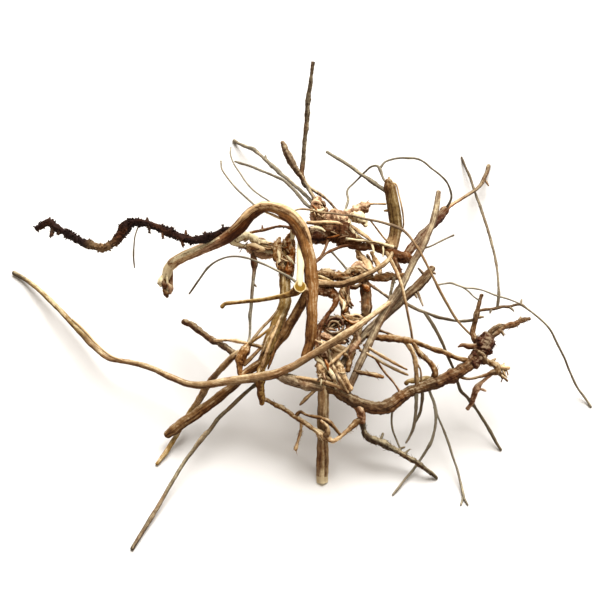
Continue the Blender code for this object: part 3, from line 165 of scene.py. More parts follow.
# The dark strands and knots that the roots grow from
CROWN = {
    "crown": (
        (308, 235, 52, 5.0), (318, 236, 51, 6.5), (330, 234, 51, 8.0), (341, 234, 51, 8.0),
        (350, 238, 50, 6.0), (358, 243, 49, 4.5),
    ),
    "crown_arm": (
        (345, 243, 48.5, 3.6), (355, 246, 48, 3.6), (364, 247, 48, 3.4), (373, 247, 47.5, 3.4),
        (382, 250, 47, 3.4), (390, 253, 46.5, 4.2), (398, 256, 46, 5.0), (405, 258, 45.5, 4.4),
        (411, 259, 45.5, 3.0),
    ),
    "crown_arm_fork": ((392, 256, 46, 3.0), (396, 265, 45, 3.4), (399, 272, 44, 2.6), (401, 278, 43.5, 1.6)),
    "crown_bough": (
        (311, 274, 60, 2.4), (316, 274, 56, 2.4), (322, 274, 52.5, 2.4), (332, 276, 50.5, 3.0),
        (343, 277, 49, 3.0), (353, 274, 48, 2.8), (362, 275, 47, 2.6), (372, 278, 46, 2.6),
        (382, 277, 45.5, 3.6), (393, 277, 45, 3.2), (401, 277, 45.5, 2.8), (407, 276, 48, 2.4),
    ),
    "upper_knot": (
        (318, 199, 58, 3.0), (317, 207, 57.5, 5.5), (319, 216, 55, 6.4), (329, 219, 54, 5.6),
        (339, 219, 54, 5.4), (346, 220, 54, 3.0),
    ),
    "knot_link": ((344, 218, 54.5, 2.4), (345, 224, 54, 2.2), (345, 234, 51.5, 2.4)),
    "inner_curve": (
        (313, 290, 58, 3.0), (322, 291, 54, 3.8), (330, 292, 52.5, 3.4), (336, 299, 51, 2.6),
        (333, 308, 50, 2.0), (328, 315, 49, 1.8), (322, 324, 48, 2.2), (318, 333, 47, 3.2),
        (317, 343, 45.5, 3.4), (318, 352, 44, 2.6),
    ),
    "inner_knot": (
        (320, 327, 46, 2.4), (325, 325, 45, 2.6), (332, 322, 45, 3.4), (340, 321, 45, 3.6),
        (349, 321, 45, 4.0), (357, 322, 44, 3.8), (365, 321, 43.5, 3.0),
    ),
    "inner_knot_low": (
        (325, 328, 45, 1.6), (330, 334, 46, 1.6), (337, 336, 46.5, 1.4), (344, 333, 46, 1.6),
        (350, 325, 45.5, 1.8),
    ),
    "crown_leg_1": (
        (360, 273, 47.5, 2.4), (365, 283, 48, 3.6), (367, 293, 47, 3.8), (367, 304, 46, 3.8),
        (366, 314, 45, 3.8), (364, 322, 43.5, 3.2),
    ),
    "crown_leg_1_side": (
        (359, 275, 47.5, 1.4), (361.5, 290, 46.5, 1.2), (362, 303, 46, 1.0), (363, 314, 45, 1.0),
    ),
    "crown_leg_2": (
        (350, 272, 48, 2.4), (346, 283, 47.5, 3.2), (344, 293, 47, 3.4), (345, 303, 46, 3.6),
        (345, 313, 45, 3.4), (348, 322, 44.5, 3.2),
    ),
    "dark_sliver": (
        (348, 224, 54, 1.2), (352, 227, 54, 1.3), (359, 232, 53.5, 1.3), (366, 237, 53, 1.2),
        (372, 241, 51.5, 1.0), (380, 244, 49.5, 1.0), (386, 247, 48, 1.0),
    ),
    "loop_twig": (
        (248, 233.5, 59, 1.3), (257, 231, 58.5, 1.3), (266, 229.5, 59, 1.2), (275, 227, 60, 1.3),
        (283, 226.5, 62.5, 1.4), (291, 228, 67, 1.2), (297, 228, 71, 1.2),
    ),
    "loop_twig_high": (
        (259, 208, 74, 1.0), (266, 212, 73, 1.0), (274, 215.5, 72, 1.1), (282, 219, 71.5, 1.1),
        (290, 221, 72, 1.2), (296, 222, 73, 1.1),
    ),
    "under_knobs": (
        (246, 247, 55.5, 1.6), (250, 251, 54.5, 1.8), (257, 254, 53, 2.6), (266, 255, 52.5, 2.8),
        (276, 252, 53, 3.0),
    ),
    "low_twig_1": (
        (365, 280, 47.5, 1.6), (372, 286, 48, 1.3), (380, 291.5, 47, 1.3), (389, 298, 46, 1.3),
        (393, 301, 45.5, 1.3),
    ),
    "low_twig_2": ((394, 278, 45.5, 1.4), (392, 287, 46, 1.3), (390, 296, 46, 1.2), (388, 303, 46, 1.2)),
}

# Pale knuckles and bared strands in the crown
KNUCKLES = {
    "knuckle_high": (
        (342, 218, 54, 2.6), (349, 214, 55, 2.8), (356, 211, 56, 4.4), (363, 207, 57, 5.0),
        (368, 204, 57.5, 2.6),
    ),
    "knuckle_low": (
        (343, 219, 54, 2.4), (350, 215, 55, 2.6), (357, 217, 55.5, 4.6), (363, 221, 55, 3.6),
        (366, 226, 54, 1.6),
    ),
    "knuckle_hair": ((366, 204, 57.5, 1.0), (375, 204, 58.5, 0.8), (386, 204, 60, 0.9)),
    "pale_runner": (
        (217, 239, 61, 1.8), (224, 239.5, 60.5, 1.9), (234, 243, 59, 2.2), (246, 247, 56, 2.1),
        (258, 249.5, 54.5, 2.1), (270, 252, 53.5, 2.2), (280, 254, 53, 2.4), (285, 256, 53, 2.4),
    ),
    "pale_knobs": (
        (236, 241, 59.5, 2.2), (242, 237, 59.5, 2.8), (249, 235.5, 59, 2.8), (254, 240, 57.5, 2.6),
        (262, 243, 56, 3.0), (270, 247, 54.5, 3.2), (278, 250, 53.5, 3.0), (285, 252, 53.5, 2.6),
    ),
    "crown_bar": (
        (307, 222.5, 59.0, 1.5), (317, 222.5, 60.5, 1.7), (328, 222.5, 60.5, 1.7), (338, 223.5, 59.5, 1.5),
        (342, 225, 57.5, 1.2),
    ),
    "crown_bar_low": (
        (346, 239, 52, 1.4), (356, 240, 52, 1.2), (366, 241, 51.5, 1.2), (376, 242, 51, 1.2),
        (386, 245, 50, 1.4), (393, 247, 48, 1.6),
    ),
    "peeled_strip": (
        (302, 234, 70, 2.0), (300.5, 243, 66.5, 2.8), (300, 255, 65.5, 3.2), (300, 268, 65, 3.2),
        (299.5, 280, 64.5, 3.0), (299.5, 286, 63.5, 2.4),
    ),
    "cut_branch": (
        (300, 287, 64, 5.0), (299, 288.5, 61.5, 4.2), (295, 292, 59, 3.6), (288, 295, 57.5, 2.6),
        (278, 297, 55.5, 1.9), (265, 299.5, 53, 1.7), (250, 301, 50, 1.7), (235, 302.5, 47, 1.7),
        (225, 304, 45, 1.7), (222, 307, 44, 1.9),
    ),
    "low_strand_1": (
        (313, 355, 44.5, 1.8), (319, 361, 44, 1.8), (325, 367, 43, 1.8), (331, 373, 42, 1.8),
        (335, 379, 40, 1.8), (337, 388, 35, 2.0),
    ),
    "low_strand_2": ((318, 363, 43, 2.6), (321, 371, 41, 3.4), (325, 379, 38, 3.0), (328, 386, 35.5, 2.4)),
    "low_strand_3": ((338, 367, 39.5, 2.2), (342, 374, 39, 2.6), (347, 382, 36.5, 2.6), (351, 389, 34, 2.4)),
    "cream_loop": ((321, 421, 27, 1.3), (327, 427, 26.5, 1.6), (327, 434, 24, 2.0), (323, 436, 22.5, 1.6)),
}

# Roots that splay to the front left
SPLAYED_ROOTS = {
    "drop_root": (
        (297, 228, 70, 2.8), (293, 233, 61, 2.8), (289, 240, 56.5, 4.0), (287, 246, 55, 5.2),
        (285, 254, 54, 7.4), (284, 262, 53, 7.0), (285, 270, 52, 5.2), (285, 280, 51, 4.6),
        (285, 292, 50, 4.8), (285, 302, 49, 4.8), (282, 312, 47, 5.2), (277, 324, 45, 5.6),
        (273, 336, 43, 5.6), (270, 346, 41, 5.2), (266, 357, 38, 4.3), (262, 367, 35, 3.4),
        (259, 377, 34, 3.0),
    ),
    "splayed_root": (
        (307, 290, 60, 2.8), (302, 303, 55, 3.9), (297, 313, 52, 4.3), (291, 323, 49, 4.3),
        (285, 333, 46, 3.9), (278, 343, 42, 3.4), (270, 352, 38, 3.4), (262, 361, 34, 3.9),
        (252, 369, 30, 3.9), (243, 377, 27, 3.9), (233, 386, 23.5, 3.9), (222, 395, 20.5, 3.9),
        (210, 404, 17.5, 3.9), (197, 413, 14.5, 4.3), (184, 422, 11.5, 4.7), (174, 430, 9, 4.7),
        (167, 435, 7, 3.4),
    ),
    "splayed_root_thin": (
        (240, 353, 36, 2.8), (232, 358, 33.5, 2.8), (225, 365, 30, 2.9), (217.5, 373, 25, 2.8),
        (212, 379, 20.5, 2.8), (206, 388, 16.5, 3.0), (200.5, 397, 13, 3.0), (194, 406, 10, 2.8),
        (187.5, 416, 7.5, 2.6), (181, 427, 5.5, 2.4), (175, 438, 4, 2.2), (168, 449, 2.5, 2.2),
        (160, 460, 1.4, 1.9), (157, 464, 0.8, 1.7),
    ),
    "orange_stub": (
        (248, 345, 38, 2.4), (244, 353, 37, 4.6), (241, 361, 35, 4.6), (240, 368, 33.5, 3.0),
        (241, 376, 32, 2.4),
    ),
    "orange_twig": (
        (267, 343, 40.5, 1.6), (262, 347, 38.5, 1.4), (256, 353, 37.5, 1.6), (250, 359, 36, 1.8),
        (244, 365, 34.5, 1.6),
    ),
    "brace_root": ((264, 360, 37, 2.4), (255, 366, 34.5, 3.0), (247, 371, 32.5, 2.6), (241, 376, 32, 2.4)),
    "pair_strand_1": (
        (283, 304, 48.5, 1.4), (277, 312, 47.5, 1.2), (270, 320, 46, 1.2), (263, 327, 44.5, 1.2),
        (257, 334, 43, 1.3), (250, 343, 40, 1.4),
    ),
    "pair_strand_2": (
        (278, 322, 45, 1.2), (271, 328, 45, 1.2), (263, 334, 43.5, 1.2), (256, 339, 42, 1.2),
        (249, 344, 39, 1.4),
    ),
    "straight_root": (
        (262, 376, 36, 2.0), (258, 383, 31, 1.8), (250, 389, 27, 1.7), (240, 398, 23, 1.7),
        (230, 408, 19, 1.7), (218, 419, 15.5, 1.7), (210, 430, 12.5, 1.8), (206, 434, 12, 2.3),
        (187, 458, 8, 1.7), (168, 489, 4.5, 1.8), (149, 521, 2.2, 1.8), (132, 549, 0.8, 1.7),
    ),
}

# Long slanting roots behind and above the rhizome
SLANTED_ROOTS = {
    "slant_root": (
        (432, 268, 46.5, 3.0), (427, 276, 46, 4.2), (420, 284, 45, 4.3), (412, 291, 44.5, 4.2),
        (403, 299, 43.5, 3.9), (394, 308, 42.5, 3.6), (384, 317, 41.5, 3.6), (373, 327, 41, 3.9),
        (364, 335, 40.5, 3.9), (356, 343, 40, 3.6), (350, 352, 39.5, 3.4), (344, 362, 39, 3.4),
        (338, 371, 38.5, 3.0), (332, 378, 38, 2.6), (326, 385, 36.5, 2.4),
    ),
    "far_root": (
        (489, 166, 0.9, 2.0), (487, 172, 3.5, 2.0), (484, 179, 7, 1.9), (480, 186, 11, 1.7),
        (474, 191, 15, 1.5), (466, 196, 19, 1.4), (458, 201, 23.5, 1.5), (450, 206, 28, 1.8),
        (444, 212, 32, 3.6), (438, 219, 35.5, 3.8), (430, 228, 39, 3.6), (422, 237, 42, 3.8),
        (414, 245, 44.5, 4.0), (407, 253, 45.5, 3.4), (402, 258, 45.5, 3.0),
    ),
    "grey_root": (
        (438.5, 192, 58, 2.2), (437.5, 201, 57, 2.6), (436, 211, 56, 2.8), (433, 221, 55, 3.0),
        (429, 231, 54, 3.2), (425, 241, 53, 3.4), (420, 251, 52, 3.4), (414, 261, 51, 3.0),
        (409, 271, 50, 2.8), (404, 281, 49, 3.0), (399, 291, 48, 3.6), (392, 301, 46.5, 3.8),
        (386, 310, 45, 3.8), (380, 321, 43.5, 3.6), (375, 331, 42.5, 3.6), (370, 341, 41.5, 3.4),
        (365, 352, 40, 3.2), (360, 363, 38.5, 3.2), (356, 373, 37, 3.2), (352, 382, 35, 3.2),
        (347, 394, 31.5, 3.0),
    ),
    "upright_root": (
        (389, 181, 67, 3.2), (390, 187, 65, 5.2), (392, 199, 61, 5.4), (394, 212, 56.5, 5.6),
        (395.5, 226, 51.5, 5.6), (394, 237, 48, 5.8), (391, 247, 45.5, 6.5), (389, 253, 45, 4.0),
    ),
    "upright_hair": (
        (393, 183, 66, 1.0), (396, 184, 66, 0.8), (399, 195, 63, 0.8), (401.5, 206, 60, 0.8),
        (403, 216, 56, 0.8), (403, 227, 52, 0.8), (398, 236, 48.5, 1.0),
    ),
}

# The thick, knobbly rhizome, what grows on it and the burl that ends it
RHIZOME = {
    "rhizome": (
        (277, 375, 37.5, 3.0), (286, 378, 37.5, 4.6), (297, 381, 37, 4.8), (308, 384, 36, 4.4),
        (320, 387, 35, 4.2), (333, 390, 33.5, 4.2), (344, 395, 31, 4.8), (354, 401, 28.5, 5.2),
        (364, 405, 26.5, 5.2), (374, 408, 25.5, 5.2), (384, 408, 25, 5.8), (392, 404, 25.5, 5.6),
        (400, 398, 26.5, 5.2), (409, 392, 27.5, 4.6), (420, 388, 28.5, 4.8), (431, 384, 29.5, 5.0),
        (442, 380, 30.5, 5.0), (453, 375, 31.5, 5.2), (463, 369, 32.5, 5.2), (472, 363, 33.5, 5.2),
        (480, 357, 34, 6.5),
    ),
    "rhizome_shoot": (
        (477, 341, 35.5, 3.4), (473, 334, 37, 2.4), (474, 325, 39, 2.4), (476, 317, 41, 2.2),
        (478, 308, 42.5, 1.8), (480, 301, 43.5, 1.7), (481.5, 295, 44, 1.8),
    ),
    "rhizome_hook": (
        (486, 341, 35.5, 3.4), (491, 337, 35.5, 2.6), (497, 333, 35.5, 2.4), (501, 329, 35.5, 2.4),
        (508, 326, 35, 2.0), (515, 324.5, 34.5, 1.9), (522, 320.5, 34, 2.0), (530, 319, 33.5, 1.4),
    ),
    "rhizome_hook_loop": (
        (489, 337, 36, 2.2), (490.5, 331.5, 37, 2.3), (495, 328, 36.8, 2.3), (500, 326, 36, 2.1),
        (505, 326, 35.3, 1.8),
    ),
    "knob_spur": ((477, 346, 36, 2.8), (469, 346.5, 37, 2.4), (463, 345, 37.5, 1.8), (458, 347, 37.5, 0.8)),
    "rhizome_under": (
        (456, 374, 31.5, 1.8), (462, 377.5, 30.5, 1.3), (468, 379, 30.5, 1.2), (477, 377.5, 30.5, 1.2),
        (486, 375, 31, 1.3), (494, 372, 31.8, 2.2), (499, 373, 31.5, 2.2), (503, 378, 30, 1.2),
    ),
    "rhizome_twig": (
        (494, 373, 31.5, 1.6), (487, 378, 29.5, 1.4), (481, 383, 27.5, 1.4), (477, 388, 25, 2.0),
        (474.5, 395, 21, 2.2), (472.5, 402, 16.5, 2.4), (469, 407, 14, 1.2), (467.5, 409, 13, 1.4),
    ),
    "end_knot": (
        (484, 357, 34, 2.6), (487, 361, 33.5, 2.6), (492, 363, 33.5, 2.6), (497, 367, 33, 2.6),
        (497, 372, 32, 2.6),
    ),
    "end_knot_tip": ((495, 366, 33, 1.8), (503, 367.5, 32.5, 1.6), (509, 368, 32, 1.9)),
    "olive_end": (
        (406, 384, 29.5, 2.0), (408, 381.5, 31, 1.6), (413, 381, 30.5, 2.0), (420, 380, 30, 2.2),
        (427, 378, 30.5, 1.8), (433, 380, 30.5, 1.6),
    ),
    "end_burl": (
        (473, 364, 33.4, 4.6), (479, 357, 34.2, 6.2), (483, 349, 34.9, 7.0), (486, 341, 35.4, 6.4),
        (486, 335, 35.8, 4.0),
    ),
}

# Warty roots in front, at the left and at the back
FRONT_ROOTS = {
    "front_stub": (
        (261, 376, 35.5, 4.2), (261, 387, 32.5, 3.6), (261.5, 396, 29.5, 3.4), (262, 404, 26.5, 2.2),
    ),
    "front_root": (
        (262, 399, 28, 2.2), (268, 401, 27, 2.0), (276, 405, 26, 2.0), (285, 410, 25, 1.9),
        (294, 416, 24, 1.8), (303, 422, 23.5, 1.9), (312, 428, 23, 1.8), (320, 433.5, 22.5, 2.2),
        (327, 438, 22, 1.8), (333, 441, 21.5, 1.7), (341, 436, 22, 1.8), (349, 429, 22, 2.0),
        (357, 422, 22, 2.2), (363, 418, 22.5, 2.4),
    ),
    "front_root_upper": (
        (295, 417, 24, 1.2), (300, 412, 25.5, 1.1), (306, 415, 26.5, 1.3), (314, 416.5, 27, 1.5),
        (321, 418, 27, 1.7), (328, 421.5, 27, 1.6), (333, 426, 25.5, 1.4), (337, 431, 23.5, 1.5),
        (341, 436, 22, 1.5),
    ),
    "front_twig": (
        (301, 420, 23.5, 1.3), (301, 427, 21, 1.2), (300, 434, 18, 1.1), (298, 441, 16, 1.1),
        (296, 450, 13.5, 1.7),
    ),
    "front_spur": ((318, 387, 35, 1.8), (310, 395, 33, 1.5), (303, 402, 31, 1.5), (300, 405, 30, 1.0)),
    "fork_base": ((353, 401, 28, 3.6), (359, 409, 26, 3.8), (362, 416, 23.5, 3.9), (362, 422, 21.5, 3.2)),
    "forward_root": (
        (362, 420, 22, 2.4), (363.5, 429, 19, 2.4), (368, 437, 16.5, 2.8), (376, 440.5, 15, 2.8),
        (384, 444, 13.5, 2.6), (392, 448.5, 11.5, 2.4), (400, 453, 10, 2.2), (408, 457.5, 8.5, 2.1),
        (416, 462, 7, 2.0), (424, 468, 5, 1.8), (431, 473, 3, 1.8), (437, 478, 0.7, 1.5),
    ),
    "left_root": (
        (184, 321.5, 17, 2.4), (190, 324, 19, 2.8), (197, 329, 21.5, 2.6), (204, 334, 24, 2.6),
        (211, 339, 26, 2.8), (218, 342.5, 28.5, 2.4), (225, 347, 31, 2.4), (232, 352, 33.5, 2.4),
        (241, 357, 35.5, 3.4),
    ),
    "left_root_upper": (
        (214, 341, 27.5, 1.4), (220, 340.5, 32, 1.2), (228, 340.5, 35.5, 1.2), (236, 341, 37, 1.5),
        (245, 343, 37.5, 1.5), (254, 345, 38, 1.6), (262, 347.5, 39, 1.6), (269, 350, 39.5, 2.0),
    ),
    "hanging_root": (
        (252, 248, 55, 1.8), (253, 256, 53, 2.6), (254, 264, 51.5, 3.2), (254, 271, 50, 1.8),
        (253, 281, 48.5, 1.6), (252, 291, 47, 1.6), (251.5, 300, 45, 1.5), (251, 308, 43, 1.5),
        (250, 315, 41.5, 1.7), (250, 325, 39.5, 1.2), (249.5, 336, 38, 1.1), (248, 344, 37.5, 1.4),
    ),
    "tall_twig": (
        (313, 62, 84, 1.7), (311, 80, 80, 1.8), (309, 97, 76, 2.2), (307.5, 113, 72.5, 2.2),
        (306, 128, 69, 2.1), (304.5, 142, 66, 1.9), (303.5, 156, 63, 1.8), (302.5, 168, 60.5, 2.2),
        (302, 178, 58.5, 2.4), (306, 187, 57, 2.0),
    ),
    "tall_twig_fork": (
        (282, 142, 70, 1.6), (285, 149, 68, 2.6), (290, 159, 65, 3.2), (295, 167, 62.5, 3.0),
        (300, 175, 60, 2.4), (303, 180, 58.5, 2.0),
    ),
    "tall_twig_root_1": (
        (302, 178, 58.5, 1.8), (310, 188, 57.5, 1.5), (320, 194.5, 57, 1.3), (326, 199, 56.5, 1.2),
        (333, 206, 55.5, 1.1), (338, 216, 54.5, 1.3),
    ),
    "tall_twig_root_2": (
        (303, 181, 58, 1.6), (309, 190, 57.5, 1.6), (314, 198, 57.5, 1.8), (317, 207, 57, 2.0),
    ),
}

# Side roots of middling thickness
SIDE_ROOTS = {
    "mid_root": (
        (366, 336, 40.5, 2.4), (376, 337, 41, 2.6), (386, 338.5, 41, 2.6), (396, 339, 40.5, 2.6),
        (404, 340, 40, 2.6), (414, 342.5, 39.5, 2.2), (424, 346, 39, 1.9), (434, 349.5, 38, 1.9),
        (445, 353, 37, 2.0), (454, 357, 36, 2.0), (462, 359.5, 35, 1.9), (470, 360, 34, 2.2),
        (476, 359, 33.5, 2.4),
    ),
    "mid_root_upper": (
        (370, 329, 41, 1.4), (375, 330, 41.5, 1.3), (381, 331, 42, 1.3), (389, 334, 41.5, 1.2),
        (397, 337.5, 40.5, 1.2),
    ),
    "mid_fork": (
        (403, 340, 40, 2.2), (408, 345, 39, 2.0), (412.5, 353, 38, 2.0), (415, 362, 36.5, 2.0),
        (416, 372, 34, 1.6), (417, 389, 28.5, 1.8),
    ),
    "curl": (
        (413, 343, 39.5, 1.8), (417, 350, 38.5, 2.2), (422, 356, 37.5, 2.4), (427, 360, 36.5, 2.2),
        (432, 365, 35, 2.4), (434.5, 372, 33.5, 2.6), (434, 380, 30.5, 2.6),
    ),
    "curl_hair": ((415, 361, 36.5, 1.0), (420, 369, 34, 0.9), (421, 376, 32, 0.9), (421, 386, 29, 1.0)),
    "low_twig_3": (
        (360, 350, 40, 1.4), (366, 353, 40.5, 1.3), (373, 357, 40.5, 1.1), (381, 361.5, 39.5, 1.1),
        (390, 366.5, 38, 1.1), (399, 371, 36.5, 1.1), (408, 375, 35, 0.9),
    ),
    "low_twig_4": (
        (364, 345, 41, 1.5), (372, 350, 41.5, 1.3), (382, 356, 41.5, 1.5), (391, 361, 40.5, 1.4),
        (399, 365.5, 39.5, 1.2), (407, 369.5, 38, 0.9),
    ),
    "low_twig_5": (
        (376, 359, 39.5, 1.2), (381, 367, 36, 1.2), (387, 375, 34, 1.0), (393, 382, 31.5, 1.0),
        (401, 394, 27.5, 1.3),
    ),
    "orange_chunk": ((354, 371, 38, 1.4), (364, 373, 38, 1.5), (373, 374.5, 37.5, 2.2), (383, 377, 35, 1.4)),
    "arched_root": (
        (311, 285, 60, 2.4), (320, 284, 58, 2.8), (330, 284, 56.5, 2.4), (341, 283.5, 55.5, 2.2),
        (352, 280, 54.5, 2.2), (363, 275.5, 53.5, 2.2), (374, 270, 52.5, 2.2), (383, 264.5, 51, 2.2),
        (389, 259, 49.5, 2.0), (392, 253, 47.5, 1.8),
    ),
    "bowed_root": (
        (386, 252, 47, 1.8), (391, 261, 50, 1.7), (396, 271, 52, 1.7), (400, 281, 53, 1.6),
        (403, 291, 53, 1.5), (405, 301, 51.5, 1.3), (407, 311, 49, 1.1), (409, 321, 46, 1.1),
        (411, 331, 43, 1.1), (412.5, 341, 39.5, 1.2),
    ),
}

